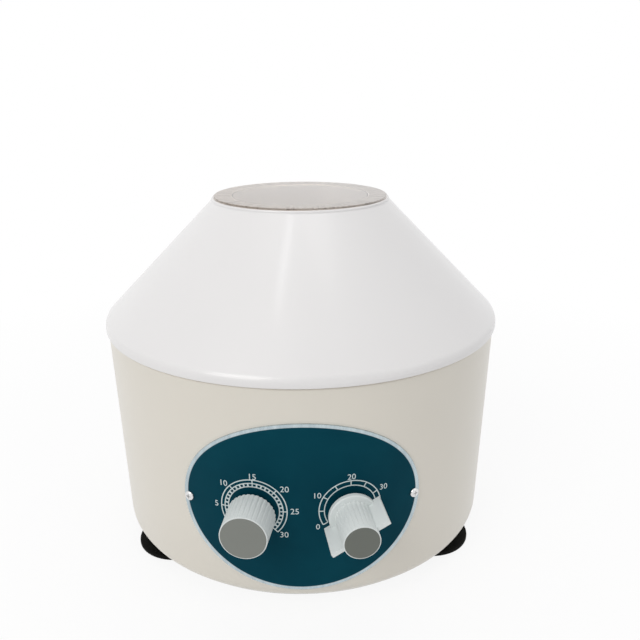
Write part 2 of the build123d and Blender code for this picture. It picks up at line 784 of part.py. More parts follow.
# Hinge bracket on the lid: a leaf that lies on the cone and a knuckle between the ears
with BuildPart() as lid_hinge_bracket:
    half_width = hinge_lid_leaf_width / 2
    with BuildSketch(Plane.YZ.offset(-half_width)):
        with Locations((hinge_y, hinge_z)):
            Circle(hinge_knuckle_radius)
        with BuildLine():
            along = Vector(-cos(lid_slope), sin(lid_slope))
            out = Vector(sin(lid_slope), cos(lid_slope))
            foot = Vector(lid_rim_radius, lid_shoulder)
            knuckle = Vector(hinge_y, hinge_z)
            Polyline(
                knuckle + out * hinge_knuckle_radius,
                foot + along * hinge_root + out * hinge_leaf_thickness,
                foot + along * hinge_leaf_length + out * hinge_leaf_thickness,
                foot + along * hinge_leaf_length - out * hinge_root,
                foot - out * hinge_root,
                knuckle - out * hinge_knuckle_radius,
                close=True)
        make_face()
    extrude(amount=2 * half_width)
    turn([
        (0, ground_clearance, 0),
        (lid_rim_radius + seat_gap, ground_clearance, 0),
        (lid_rim_radius + seat_gap, lid_shoulder, lid_shoulder_round),
        (lid_top_radius + seat_gap, lid_cone_top + seat_gap, 0),
        (0, lid_cone_top + seat_gap, 0),
    ], mode=Mode.SUBTRACT)
    rod(hinge_axis_plane, hinge_pin_radius + running_gap, -half_width - cut_past, half_width + cut_past,
        mode=Mode.SUBTRACT)
    for plane in hinge_leaf_planes:
        rod(plane, screw_pass, -wall_cut, wall_cut, mode=Mode.SUBTRACT)
lid_hinge_bracket.part.label = "lid_hinge_bracket"
export_step(lid_hinge_bracket.part, "parts/lid_hinge_bracket.step")

# Hinge pin, held by the ears
with BuildPart() as hinge_pin:
    pin_half = hinge_lid_leaf_width / 2 + hinge_side_gap + hinge_ear_width
    rod(hinge_axis_plane, hinge_pin_radius, -pin_half, pin_half)
    rod(hinge_axis_plane, hinge_pin_radius + hinge_pin_head_rim, -pin_half - hinge_pin_head, -pin_half)
    rod(hinge_axis_plane, hinge_pin_radius + hinge_pin_head_rim, pin_half, pin_half + hinge_pin_head)
hinge_pin.part.label = "hinge_pin"
export_step(hinge_pin.part, "parts/hinge_pin.step")

# Screws of the hinge bracket on the drum
with BuildPart() as body_hinge_screws:
    for plane in hinge_screw_planes:
        pan_screw(plane, small_screw, small_screw_length)
        slot_cross(plane, small_screw[1], small_screw[2])
body_hinge_screws.part.label = "body_hinge_screws"
export_step(body_hinge_screws.part, "parts/body_hinge_screws.step")

# Screws of the hinge bracket on the lid
with BuildPart() as lid_hinge_screws:
    for plane in hinge_leaf_planes:
        pan_screw(plane, small_screw, small_screw_length)
        slot_cross(plane, small_screw[1], small_screw[2])
lid_hinge_screws.part.label = "lid_hinge_screws"
export_step(lid_hinge_screws.part, "parts/lid_hinge_screws.step")

# Control panel: an oval plate bent to the drum's wall
with BuildPart() as control_panel:
    low = panel_centre_height - panel_half_height - cut_past
    high = panel_centre_height + panel_half_height + cut_past
    turn([
        (wall_radius(low) + seat_gap, low, 0),
        (wall_radius(low) + panel_thickness, low, 0),
        (wall_radius(high) + panel_thickness, high, 0),
        (wall_radius(high) + seat_gap, high, 0),
    ])
    with BuildSketch(Plane.XZ):
        with BuildLine():
            spots = []
            for step in range(panel_outline_points):
                angle = 2 * pi * step / panel_outline_points
                bend = panel_half_width * cos(angle) / drum_top_radius
                rise = panel_centre_height + panel_half_height * sin(angle)
                spots.append((drum_top_radius * sin(bend), rise))
            Spline(*spots, periodic=True)
        make_face()
    extrude(amount=drum_top_radius + wall_cut, mode=Mode.INTERSECT)
    for plane in (timer_plane, speed_plane):
        rod(plane, bushing_radius + hole_clearance, -wall_cut, wall_cut, mode=Mode.SUBTRACT)
    for plane in panel_screw_planes:
        rod(plane, screw_pass, -wall_cut, wall_cut, mode=Mode.SUBTRACT)
control_panel.part.label = "control_panel"
export_step(control_panel.part, "parts/control_panel.step")

# The two screws of the control panel
with BuildPart() as panel_screws:
    for plane in panel_screw_planes:
        pan_screw(plane, small_screw, small_screw_length)
        slot_cross(plane, small_screw[1], small_screw[2])
panel_screws.part.label = "panel_screws"
export_step(panel_screws.part, "parts/panel_screws.step")


def case_front(half_width):
    """How far below the panel's face a flat-fronted case of this half width can begin."""
    bow = half_width ** 2 / (2 * (wall_radius(dial_height) - drum_wall))
    return -panel_thickness - drum_wall - bow - half_width * tan(dial_toe) - case_gap


def dial_bushing(plane, front):
    """The threaded neck of a case, which comes out through the wall and the panel."""
    rod(plane, bushing_radius, front, bushing_reach)
    rod(plane, dial_shaft_radius + running_gap, front - case_wall - cut_past, bushing_reach + cut_past,
        mode=Mode.SUBTRACT)


# Case of the clockwork timer
timer_front = case_front(timer_case_side / 2)
with BuildPart() as timer_case:
    low_plane = Plane(origin=timer_plane.from_local_coords((0, -timer_case_drop, 0)),
                      x_dir=timer_plane.x_dir, z_dir=timer_plane.z_dir)
    block(low_plane, timer_case_side, timer_case_side, timer_front - timer_case_depth, timer_front)
    inner_side = timer_case_side - 2 * case_wall
    block(low_plane, inner_side, inner_side, timer_front - timer_case_depth + case_wall,
          timer_front - case_wall, mode=Mode.SUBTRACT)
    dial_bushing(timer_plane, timer_front)
timer_case.part.label = "timer_case"
export_step(timer_case.part, "parts/timer_case.step")

# Timer shaft, with the drum of its mainspring inside the case
with BuildPart() as timer_shaft:
    spring_drum_top = timer_front - case_wall - shaft_end_gap
    rod(timer_plane, dial_shaft_radius, spring_drum_top, timer_knob_standoff + dial_shaft_in_knob)
    rod(timer_plane, spring_drum_radius, spring_drum_top - timer_case_depth / 2, spring_drum_top)
timer_shaft.part.label = "timer_shaft"
export_step(timer_shaft.part, "parts/timer_shaft.step")

# Timer knob
timer_knob_front = timer_knob_standoff + timer_knob_length
timer_cap_radius = timer_knob_radius - knob_taper - cap_edge
cap_seat = cap_thickness - cap_proud
with BuildPart() as timer_knob:
    turn([
        (0, timer_knob_standoff, 0),
        (timer_knob_radius, timer_knob_standoff, soft_edge),
        (timer_knob_radius - knob_taper, timer_knob_front, fine_edge),
        (timer_cap_radius + seat_gap, timer_knob_front, 0),
        (timer_cap_radius + seat_gap, timer_knob_front - cap_seat, 0),
        (0, timer_knob_front - cap_seat, 0),
    ], timer_plane)
    flute_circle = timer_knob_radius + flute_radius - flute_depth
    with BuildSketch(timer_plane.offset(timer_knob_standoff - cut_past)):
        with PolarLocations(flute_circle, timer_flute_count):
            Circle(flute_radius)
    extrude(amount=timer_knob_length + 2 * cut_past, mode=Mode.SUBTRACT)
    rod(timer_plane, dial_shaft_radius + seat_gap, timer_knob_standoff - cut_past,
        timer_knob_standoff + dial_shaft_in_knob, mode=Mode.SUBTRACT)
timer_knob.part.label = "timer_knob"
export_step(timer_knob.part, "parts/timer_knob.step")

# Flat cap in the face of the timer knob
with BuildPart() as timer_knob_cap:
    turn([
        (0, timer_knob_front - cap_seat, 0),
        (timer_cap_radius, timer_knob_front - cap_seat, 0),
        (timer_cap_radius, timer_knob_front + cap_proud, fine_edge),
        (0, timer_knob_front + cap_proud, 0),
    ], timer_plane)
timer_knob_cap.part.label = "timer_knob_cap"
export_step(timer_knob_cap.part, "parts/timer_knob_cap.step")

# Case of the speed control
speed_front = case_front(speed_case_radius)
with BuildPart() as speed_case:
    rod(speed_plane, speed_case_radius, speed_front - speed_case_depth, speed_front)
    rod(speed_plane, speed_case_radius - case_wall, speed_front - speed_case_depth + case_wall,
        speed_front - case_wall, mode=Mode.SUBTRACT)
    dial_bushing(speed_plane, speed_front)
speed_case.part.label = "speed_case"
export_step(speed_case.part, "parts/speed_case.step")

# Shaft of the speed control, with its wiper disc inside the case
with BuildPart() as speed_shaft:
    wiper_top = speed_front - case_wall - shaft_end_gap
    rod(speed_plane, dial_shaft_radius, wiper_top, speed_knob_standoff + dial_shaft_in_knob)
    rod(speed_plane, wiper_radius, wiper_top - speed_case_depth / 4, wiper_top)
speed_shaft.part.label = "speed_shaft"
export_step(speed_shaft.part, "parts/speed_shaft.step")

# Speed knob, with a round skirt and two wings
speed_knob_front = speed_knob_standoff + speed_knob_length
speed_cap_radius = speed_knob_radius - knob_taper - cap_edge
with BuildPart() as speed_knob:
    turn([
        (0, speed_knob_standoff, 0),
        (speed_knob_radius, speed_knob_standoff, 0),
        (speed_knob_radius - knob_taper, speed_knob_front, fine_edge),
        (0, speed_knob_front, 0),
    ], speed_plane)
    speed_flute_circle = speed_knob_radius + flute_radius - flute_depth
    with BuildSketch(speed_plane.offset(speed_knob_standoff - cut_past)):
        with PolarLocations(speed_flute_circle, speed_flute_count):
            Circle(flute_radius)
    extrude(amount=speed_knob_length + 2 * cut_past, mode=Mode.SUBTRACT)
    turn([
        (0, speed_knob_standoff, 0),
        (speed_skirt_radius, speed_knob_standoff, soft_edge),
        (speed_skirt_radius, speed_knob_standoff + speed_skirt_thickness, round_edge),
        (0, speed_knob_standoff + speed_skirt_thickness, 0),
    ], speed_plane)
    with BuildSketch(speed_plane.offset(speed_knob_standoff)):
        with Locations(Location((0, 0, 0), (0, 0, 90 - speed_zero_angle))):
            RectangleRounded(2 * speed_wing_reach, speed_wing_thickness, soft_edge)
    extrude(amount=speed_wing_length)
    rod(speed_plane, speed_cap_radius + seat_gap, speed_knob_front - cap_seat, speed_knob_front + cut_past,
        mode=Mode.SUBTRACT)
    rod(speed_plane, dial_shaft_radius + seat_gap, speed_knob_standoff - cut_past,
        speed_knob_standoff + dial_shaft_in_knob, mode=Mode.SUBTRACT)
speed_knob.part.label = "speed_knob"
export_step(speed_knob.part, "parts/speed_knob.step")

# Flat cap in the face of the speed knob
with BuildPart() as speed_knob_cap:
    turn([
        (0, speed_knob_front - cap_seat, 0),
        (speed_cap_radius, speed_knob_front - cap_seat, 0),
        (speed_cap_radius, speed_knob_front + cap_proud, fine_edge),
        (0, speed_knob_front + cap_proud, 0),
    ], speed_plane)
speed_knob_cap.part.label = "speed_knob_cap"
export_step(speed_knob_cap.part, "parts/speed_knob_cap.step")

# Nuts that clamp the two cases to the wall
with BuildPart() as dial_nuts:
    for plane in (timer_plane, speed_plane):
        hex_bar(plane, dial_nut_across, dial_nut_lift, dial_nut_lift + dial_nut_thickness)
        rod(plane, bushing_radius + seat_gap, -wall_cut, wall_cut, mode=Mode.SUBTRACT)
dial_nuts.part.label = "dial_nuts"
export_step(dial_nuts.part, "parts/dial_nuts.step")

# Control board on the bottom plate
with BuildPart() as control_board:
    board_plane = Plane((board_centre_x, board_centre_y, board_bottom))
    block(board_plane, board_width, board_length, 0, board_thickness)
    for x, y in board_corners:
        rod(Plane((x, y, board_bottom)), board_post_radius / 2 + seat_gap, -wall_cut, wall_cut,
            mode=Mode.SUBTRACT)
control_board.part.label = "control_board"
export_step(control_board.part, "parts/control_board.step")

# Posts whose necks clip through the board
with BuildPart() as board_posts:
    for x, y in board_corners:
        neck_top = board_post_height + board_thickness
        turn([
            (0, 0, 0),
            (board_post_radius, 0, 0),
            (board_post_radius, board_post_height, 0),
            (board_post_radius / 2, board_post_height, 0),
            (board_post_radius / 2, neck_top, 0),
            (board_post_radius * board_post_barb, neck_top, 0),
            (board_post_radius / 2, neck_top + board_post_tip, 0),
            (0, neck_top + board_post_tip, 0),
        ], Plane((x, y, ground_clearance)))
board_posts.part.label = "board_posts"
export_step(board_posts.part, "parts/board_posts.step")

# Finned heat sink on the board
sink_y = board_centre_y + board_length / 2 - heat_sink_width / 2 - heat_sink_end_gap
sink_inner_x = board_centre_x - board_width / 2 + heat_sink_depth + heat_sink_side_gap
with BuildPart() as heat_sink:
    sink_bottom = board_bottom + board_thickness
    sink_back = heat_sink_depth / 4
    fin_pitch = (heat_sink_width - heat_sink_fin_thickness) / (heat_sink_fins - 1)
    with BuildSketch(Plane.XY.offset(sink_bottom)):
        with Locations((sink_inner_x - sink_back / 2, sink_y)):
            Rectangle(sink_back, heat_sink_width)
        with Locations((sink_inner_x - heat_sink_depth / 2, sink_y)):
            with GridLocations(0, fin_pitch, 1, heat_sink_fins):
                Rectangle(heat_sink_depth, heat_sink_fin_thickness)
    extrude(amount=heat_sink_height)
heat_sink.part.label = "heat_sink"
export_step(heat_sink.part, "parts/heat_sink.step")

# Power switch of the motor, flat against the heat sink
with BuildPart() as triac:
    triac_plane = Plane((sink_inner_x + triac_thickness / 2, sink_y, sink_bottom))
    block(triac_plane, triac_thickness, triac_width, triac_leg_height, triac_leg_height + triac_height)
    for lead in (-1, 0, 1):
        leg = Plane((sink_inner_x + triac_thickness / 2, sink_y + lead * triac_leg_pitch, sink_bottom))
        block(leg, triac_leg_side, triac_leg_side, 0, triac_leg_height)
triac.part.label = "triac"
export_step(triac.part, "parts/triac.step")

# Mains inlet on the rear wall
inlet_front = inlet_flange_thickness
inlet_pin_spots = (
    (-inlet_pin_step, inlet_pin_spread), (-inlet_pin_step, -inlet_pin_spread), (inlet_pin_step, 0))
with BuildPart() as mains_inlet:
    block(inlet_plane, inlet_flange_width, inlet_flange_height, 0, inlet_front)
    block(inlet_plane, inlet_body_width, inlet_body_height, -inlet_depth, 0)
    block(inlet_plane, inlet_socket_width, inlet_socket_height, inlet_front - inlet_socket_depth,
          inlet_front + cut_past, mode=Mode.SUBTRACT)
    with BuildSketch(inlet_plane.offset(-inlet_depth - cut_past)):
        with Locations(*inlet_pin_spots):
            Rectangle(inlet_pin_width + 2 * seat_gap, inlet_pin_thickness + 2 * seat_gap)
    extrude(amount=inlet_depth, mode=Mode.SUBTRACT)
    for plane in inlet_screw_planes:
        rod(plane, screw_pass, -wall_cut, wall_cut, mode=Mode.SUBTRACT)
mains_inlet.part.label = "mains_inlet"
export_step(mains_inlet.part, "parts/mains_inlet.step")

# The three pins of the mains inlet, with their tabs behind it
with BuildPart() as inlet_pins:
    with BuildSketch(inlet_plane.offset(-inlet_depth - inlet_pin_tab)):
        with Locations(*inlet_pin_spots):
            Rectangle(inlet_pin_width, inlet_pin_thickness)
    extrude(amount=inlet_depth + inlet_pin_tab + inlet_front - inlet_pin_recess)
inlet_pins.part.label = "inlet_pins"
export_step(inlet_pins.part, "parts/inlet_pins.step")

# Screws of the mains inlet
with BuildPart() as inlet_screws:
    for plane in inlet_screw_planes:
        pan_screw(plane, small_screw, small_screw_length + inlet_screw_extra)
        slot_cross(plane, small_screw[1], small_screw[2])
inlet_screws.part.label = "inlet_screws"
export_step(inlet_screws.part, "parts/inlet_screws.step")

# Fuse holder on the rear wall
with BuildPart() as fuse_holder:
    turn([
        (fuse_stem_radius + running_gap, fuse_flange_thickness, 0),
        (fuse_stem_radius + running_gap, fuse_end_wall - fuse_body_length, 0),
        (0, fuse_end_wall - fuse_body_length, 0),
        (0, -fuse_body_length, 0),
        (fuse_body_radius, -fuse_body_length, wide_edge),
        (fuse_body_radius, 0, 0),
        (fuse_flange_radius, 0, 0),
        (fuse_flange_radius, fuse_flange_thickness, round_edge),
    ], fuse_plane)
fuse_holder.part.label = "fuse_holder"
export_step(fuse_holder.part, "parts/fuse_holder.step")

# Cap of the fuse holder, with a driver slot and the stem that holds the fuse
with BuildPart() as fuse_cap:
    cap_bottom = fuse_flange_thickness + lid_rest_gap
    turn([
        (0, cap_bottom - fuse_cap_stem, 0),
        (fuse_stem_radius, cap_bottom - fuse_cap_stem, soft_edge),
        (fuse_stem_radius, cap_bottom, 0),
        (fuse_cap_radius, cap_bottom, fine_edge),
        (fuse_cap_radius, cap_bottom + fuse_cap_height, round_edge),
        (0, cap_bottom + fuse_cap_height, 0),
    ], fuse_plane)
    cap_face = cap_bottom + fuse_cap_height
    block(fuse_plane, 2 * fuse_cap_radius + cut_past, fuse_slot_width, cap_face - fuse_slot_depth,
          cap_face + cut_past, mode=Mode.SUBTRACT)
fuse_cap.part.label = "fuse_cap"
export_step(fuse_cap.part, "parts/fuse_cap.step")

# Rubber mounts that carry the motor on the bottom plate
with BuildPart() as motor_mounts:
    waist_height = mount_height / 2
    waist_reach = mount_height * mount_waist_share
    for azimuth in mount_azimuths:
        plane = upright_plane(azimuth, mount_circle_radius, ground_clearance)
        turn([
            (mount_bolt_radius + seat_gap, 0, 0),
            (mount_radius, 0, 0),
            (mount_radius, waist_height - waist_reach, soft_edge),
            (mount_radius - mount_waist, waist_height, wide_edge),
            (mount_radius, waist_height + waist_reach, soft_edge),
            (mount_radius, mount_height, 0),
            (mount_bolt_radius + seat_gap, mount_height, 0),
        ], plane)
motor_mounts.part.label = "motor_mounts"
export_step(motor_mounts.part, "parts/motor_mounts.step")

# Bolts up through the rubber mounts
with BuildPart() as mount_bolts:
    for azimuth in mount_azimuths:
        plane = upright_plane(azimuth, mount_circle_radius, plate_bottom)
        under = Plane(origin=plane.origin, x_dir=plane.x_dir, z_dir=(0, 0, -1))
        bolt_reach = motor_bottom + nut_thickness + nut_thread_past - plate_bottom
        pan_screw(under, (mount_bolt_radius, foot_screw[1], foot_screw[2]), bolt_reach)
        slot_cross(under, foot_screw[1], foot_screw[2])
mount_bolts.part.label = "mount_bolts"
export_step(mount_bolts.part, "parts/mount_bolts.step")

# Bracket between the rubber mounts and the motor
with BuildPart() as motor_bracket:
    rod(Plane.XY, bracket_radius, bracket_bottom, motor_bottom)
    rod(Plane.XY, bracket_hole_radius, bracket_bottom - cut_past, motor_bottom + cut_past,
        mode=Mode.SUBTRACT)
    for azimuth in mount_azimuths:
        plane = upright_plane(azimuth, mount_circle_radius, bracket_bottom)
        rod(plane, mount_bolt_radius + seat_gap, -wall_cut, wall_cut, mode=Mode.SUBTRACT)
    for azimuth in tie_azimuths:
        plane = upright_plane(azimuth, tie_circle_radius, bracket_bottom)
        rod(plane, tie_bolt_radius + hole_clearance, -wall_cut, wall_cut, mode=Mode.SUBTRACT)
motor_bracket.part.label = "motor_bracket"
export_step(motor_bracket.part, "parts/motor_bracket.step")


def tie_ears(low, high):
    """Ears beside a motor cap for the long tie bolts."""
    for azimuth in tie_azimuths:
        plane = upright_plane(azimuth, tie_circle_radius, 0)
        rod(plane, tie_ear_radius, low, high)
        neck = tie_circle_radius - motor_radius + cap_wall / 2
        inward = plane.from_local_coords((0, neck / 2, 0))
        block(Plane(inward, x_dir=plane.x_dir, z_dir=(0, 0, 1)), 2 * tie_ear_radius, neck, low, high)
        rod(plane, tie_bolt_radius + hole_clearance, low - cut_past, high + cut_past, mode=Mode.SUBTRACT)


bearing_seat = bearing_outer_radius + seat_gap
bearing_boss = bearing_outer_radius + cap_wall
bearing_lip = bearing_outer_radius - bearing_ring_thickness - hole_clearance
brush_tube_side = brush_side + 2 * brush_tube_wall

# Lower cap of the motor, with the pocket of the lower bearing
with BuildPart() as motor_lower_cap:
    turn([
        (bearing_lip, motor_bottom, 0),
        (motor_radius, motor_bottom, bend_round),
        (motor_radius, shell_bottom, 0),
        (motor_radius - cap_wall, shell_bottom, 0),
        (motor_radius - cap_wall, motor_bottom + cap_wall, wide_edge),
        (bearing_boss, motor_bottom + cap_wall, 0),
        (bearing_boss, lower_bearing_bottom + bearing_width, wide_edge),
        (bearing_seat, lower_bearing_bottom + bearing_width, 0),
        (bearing_seat, lower_bearing_bottom, 0),
        (bearing_lip, lower_bearing_bottom, 0),
    ])
    tie_ears(motor_bottom, motor_bottom + 2 * cap_wall)
    hole = brush_tube_side + 2 * seat_gap
    block(Plane((0, 0, brush_height), x_dir=(0, 1, 0), z_dir=(1, 0, 0)), hole, hole,
          -motor_radius - cut_past, motor_radius + cut_past, mode=Mode.SUBTRACT)
motor_lower_cap.part.label = "motor_lower_cap"
export_step(motor_lower_cap.part, "parts/motor_lower_cap.step")

# Tube of the motor between its caps
with BuildPart() as motor_shell:
    rod(Plane.XY, motor_radius, shell_bottom, shell_top)
    rod(Plane.XY, motor_radius - motor_wall, shell_bottom - cut_past, shell_top + cut_past,
        mode=Mode.SUBTRACT)
motor_shell.part.label = "motor_shell"
export_step(motor_shell.part, "parts/motor_shell.step")

# Upper cap of the motor, with the pocket of the upper bearing and air slots
with BuildPart() as motor_upper_cap:
    turn([
        (motor_radius, shell_top, 0),
        (motor_radius, motor_top, bend_round),
        (bearing_lip, motor_top, 0),
        (bearing_lip, upper_bearing_bottom + bearing_width, 0),
        (bearing_seat, upper_bearing_bottom + bearing_width, 0),
        (bearing_seat, upper_bearing_bottom, 0),
        (bearing_boss, upper_bearing_bottom, wide_edge),
        (bearing_boss, motor_top - cap_wall, 0),
        (motor_radius - cap_wall, motor_top - cap_wall, wide_edge),
        (motor_radius - cap_wall, shell_top, 0),
    ])
    tie_ears(motor_top - 2 * cap_wall, motor_top)
    with BuildSketch(Plane.XY.offset(motor_top - cap_wall - cut_past)):
        with PolarLocations((bearing_boss + motor_radius - cap_wall) / 2, cap_slot_count, cap_slot_start):
            SlotOverall(cap_slot_length, cap_slot_width)
    extrude(amount=cap_wall + 2 * cut_past, mode=Mode.SUBTRACT)
motor_upper_cap.part.label = "motor_upper_cap"
export_step(motor_upper_cap.part, "parts/motor_upper_cap.step")

# Long bolts that hold the bracket, both caps and the shell together
with BuildPart() as tie_bolts:
    for azimuth in tie_azimuths:
        plane = upright_plane(azimuth, tie_circle_radius, bracket_bottom)
        under = Plane(origin=plane.origin, x_dir=plane.x_dir, z_dir=(0, 0, -1))
        bolt_length = motor_top - bracket_bottom - tie_bolt_short
        pan_screw(under, (tie_bolt_radius, base_screw[1], base_screw[2]), bolt_length)
tie_bolts.part.label = "tie_bolts"
export_step(tie_bolts.part, "parts/tie_bolts.step")

# Field core: a ring with two poles that reach in to the armature
pole_face = armature_radius + air_gap
with BuildPart() as field_core:
    rod(Plane.XY, field_outer, armature_bottom, armature_top)
    rod(Plane.XY, field_outer - field_yoke, armature_bottom - cut_past, armature_top + cut_past,
        mode=Mode.SUBTRACT)
    pole_root = field_outer - field_yoke / 2
    for side in (-1, 1):
        pole = Plane((0, side * (pole_face + pole_root) / 2, 0))
        block(pole, field_pole_width, pole_root - pole_face, armature_bottom, armature_top)
    rod(Plane.XY, pole_face, armature_bottom - cut_past, armature_top + cut_past, mode=Mode.SUBTRACT)
field_core.part.label = "field_core"
export_step(field_core.part, "parts/field_core.step")

# Field coils round the two poles
with BuildPart() as field_coils:
    middle = (armature_bottom + armature_top) / 2
    for side in (-1, 1):
        pole = Plane((0, 0, middle), x_dir=(1, 0, 0), z_dir=(0, side, 0))
        coil_low = pole_face + air_gap
        coil_high = field_outer - field_yoke - air_gap
        block(pole, field_pole_width + 2 * coil_side, armature_length + 2 * coil_height,
              coil_low, coil_high)
        block(pole, field_pole_width + 2 * seat_gap, armature_length + 2 * seat_gap, coil_low - cut_past,
              coil_high + cut_past, mode=Mode.SUBTRACT)
    rod(Plane.XY, field_outer - field_yoke - hole_clearance, shell_bottom, shell_top,
        mode=Mode.INTERSECT)
field_coils.part.label = "field_coils"
export_step(field_coils.part, "parts/field_coils.step")

# Armature core, a stack of slotted plates
slot_circle = armature_radius - slot_depth
with BuildPart() as armature_core:
    rod(Plane.XY, armature_radius, armature_bottom, armature_top)
    rod(Plane.XY, armature_shaft_radius + seat_gap, armature_bottom - cut_past, armature_top + cut_past,
        mode=Mode.SUBTRACT)
    with BuildSketch(Plane.XY.offset(armature_bottom - cut_past)):
        with PolarLocations(slot_circle, armature_slots):
            Circle(slot_radius)
        with PolarLocations(armature_radius, armature_slots):
            Rectangle(2 * (slot_depth - slot_radius / 2), slot_mouth)
    extrude(amount=armature_length + 2 * cut_past, mode=Mode.SUBTRACT)
armature_core.part.label = "armature_core"
export_step(armature_core.part, "parts/armature_core.step")

# Armature coils, in the slots and over both ends
with BuildPart() as armature_coils:
    with BuildSketch(Plane.XY.offset(armature_bottom - seat_gap)):
        with PolarLocations(slot_circle, armature_slots):
            Circle(slot_filling_radius)
    extrude(amount=armature_length + 2 * seat_gap)
    for end in (armature_bottom - seat_gap - coil_height, armature_top + seat_gap):
        turn([
            (armature_shaft_radius + 2 * air_gap, end, wide_edge),
            (slot_circle + slot_filling_radius, end, wide_edge),
            (slot_circle + slot_filling_radius, end + coil_height, wide_edge),
            (armature_shaft_radius + 2 * air_gap, end + coil_height, wide_edge),
        ])
armature_coils.part.label = "armature_coils"
export_step(armature_coils.part, "parts/armature_coils.step")

# Commutator below the armature
with BuildPart() as commutator:
    commutator_bottom = brush_height - commutator_length / 2
    rod(Plane.XY, commutator_radius, commutator_bottom, commutator_bottom + commutator_length)
    rod(Plane.XY, bearing_bore_radius + seat_gap, commutator_bottom - cut_past,
        commutator_bottom + commutator_length + cut_past, mode=Mode.SUBTRACT)
    with BuildSketch(Plane.XY.offset(commutator_bottom - cut_past)):
        with PolarLocations(commutator_radius, armature_slots):
            Rectangle(2 * commutator_slot_depth, commutator_slot_width)
    extrude(amount=commutator_length + 2 * cut_past, mode=Mode.SUBTRACT)
commutator.part.label = "commutator"
export_step(commutator.part, "parts/commutator.step")

# Motor shaft, from the lower bearing to the thread of the rotor's nut
with BuildPart() as motor_shaft:
    turn([
        (0, lower_bearing_bottom, 0),
        (bearing_bore_radius, lower_bearing_bottom, soft_edge),
        (bearing_bore_radius, armature_bottom - shoulder_past, 0),
        (armature_shaft_radius, armature_bottom - shoulder_past, 0),
        (armature_shaft_radius, armature_top + shoulder_past, 0),
        (bearing_bore_radius, armature_top + shoulder_past, 0),
        (bearing_bore_radius, hub_bottom, 0),
        (shaft_end_radius, hub_bottom, 0),
        (shaft_end_radius, hub_top + rotor_thread_length, soft_edge),
        (0, hub_top + rotor_thread_length, 0),
    ])
motor_shaft.part.label = "motor_shaft"
export_step(motor_shaft.part, "parts/motor_shaft.step")

# Cooling fan above the armature
with BuildPart() as cooling_fan:
    rod(Plane.XY, fan_radius, fan_bottom, fan_bottom + fan_thickness)
    with BuildSketch(Plane.XY.offset(fan_bottom)):
        with PolarLocations((fan_radius + bearing_bore_radius) / 2, fan_blades):
            Rectangle(fan_radius - bearing_bore_radius - fan_blade_cut, fan_thickness)
        Circle(bearing_bore_radius + fan_hub_wall)
    extrude(amount=fan_height)
    rod(Plane.XY, bearing_bore_radius + seat_gap, fan_bottom - cut_past, fan_bottom + fan_height + cut_past,
        mode=Mode.SUBTRACT)
cooling_fan.part.label = "cooling_fan"
export_step(cooling_fan.part, "parts/cooling_fan.step")

# The two ball bearings: their outer rings, inner rings and balls
bearing_bottoms = (lower_bearing_bottom, upper_bearing_bottom)
with BuildPart() as bearing_outer_rings:
    for bottom in bearing_bottoms:
        turn([
            (bearing_outer_radius - bearing_ring_thickness, bottom, soft_edge),
            (bearing_outer_radius, bottom, round_edge),
            (bearing_outer_radius, bottom + bearing_width, round_edge),
            (bearing_outer_radius - bearing_ring_thickness, bottom + bearing_width, soft_edge),
        ])
bearing_outer_rings.part.label = "bearing_outer_rings"
export_step(bearing_outer_rings.part, "parts/bearing_outer_rings.step")

with BuildPart() as bearing_inner_rings:
    for bottom in bearing_bottoms:
        turn([
            (bearing_bore_radius + seat_gap, bottom, soft_edge),
            (bearing_bore_radius + bearing_ring_thickness, bottom, soft_edge),
            (bearing_bore_radius + bearing_ring_thickness, bottom + bearing_width, soft_edge),
            (bearing_bore_radius + seat_gap, bottom + bearing_width, soft_edge),
        ])
bearing_inner_rings.part.label = "bearing_inner_rings"
export_step(bearing_inner_rings.part, "parts/bearing_inner_rings.step")

with BuildPart() as bearing_balls:
    ball_circle = (bearing_bore_radius + bearing_outer_radius) / 2
    for bottom in bearing_bottoms:
        with Locations((0, 0, bottom + bearing_width / 2)):
            with PolarLocations(ball_circle, bearing_ball_count):
                Sphere(bearing_ball_radius)
bearing_balls.part.label = "bearing_balls"
export_step(bearing_balls.part, "parts/bearing_balls.step")

# Tubes that guide the carbon brushes
with BuildPart() as brush_tubes:
    for side in (-1, 1):
        plane = Plane((0, 0, brush_height), x_dir=(0, 1, 0), z_dir=(side, 0, 0))
        tube_end = motor_radius + 2 * brush_tube_wall
        block(plane, brush_tube_side, brush_tube_side, commutator_radius + 2 * brush_tube_wall, tube_end)
        block(plane, brush_side + 2 * seat_gap, brush_side + 2 * seat_gap, commutator_radius,
              tube_end - brush_tube_wall, mode=Mode.SUBTRACT)
brush_tubes.part.label = "brush_tubes"
export_step(brush_tubes.part, "parts/brush_tubes.step")

# Carbon brushes
with BuildPart() as brushes:
    for side in (-1, 1):
        plane = Plane((0, 0, brush_height), x_dir=(0, 1, 0), z_dir=(side, 0, 0))
        brush_face = commutator_radius + brush_gap
        block(plane, brush_side, brush_side, brush_face, brush_face + brush_length)
brushes.part.label = "brushes"
export_step(brushes.part, "parts/brushes.step")

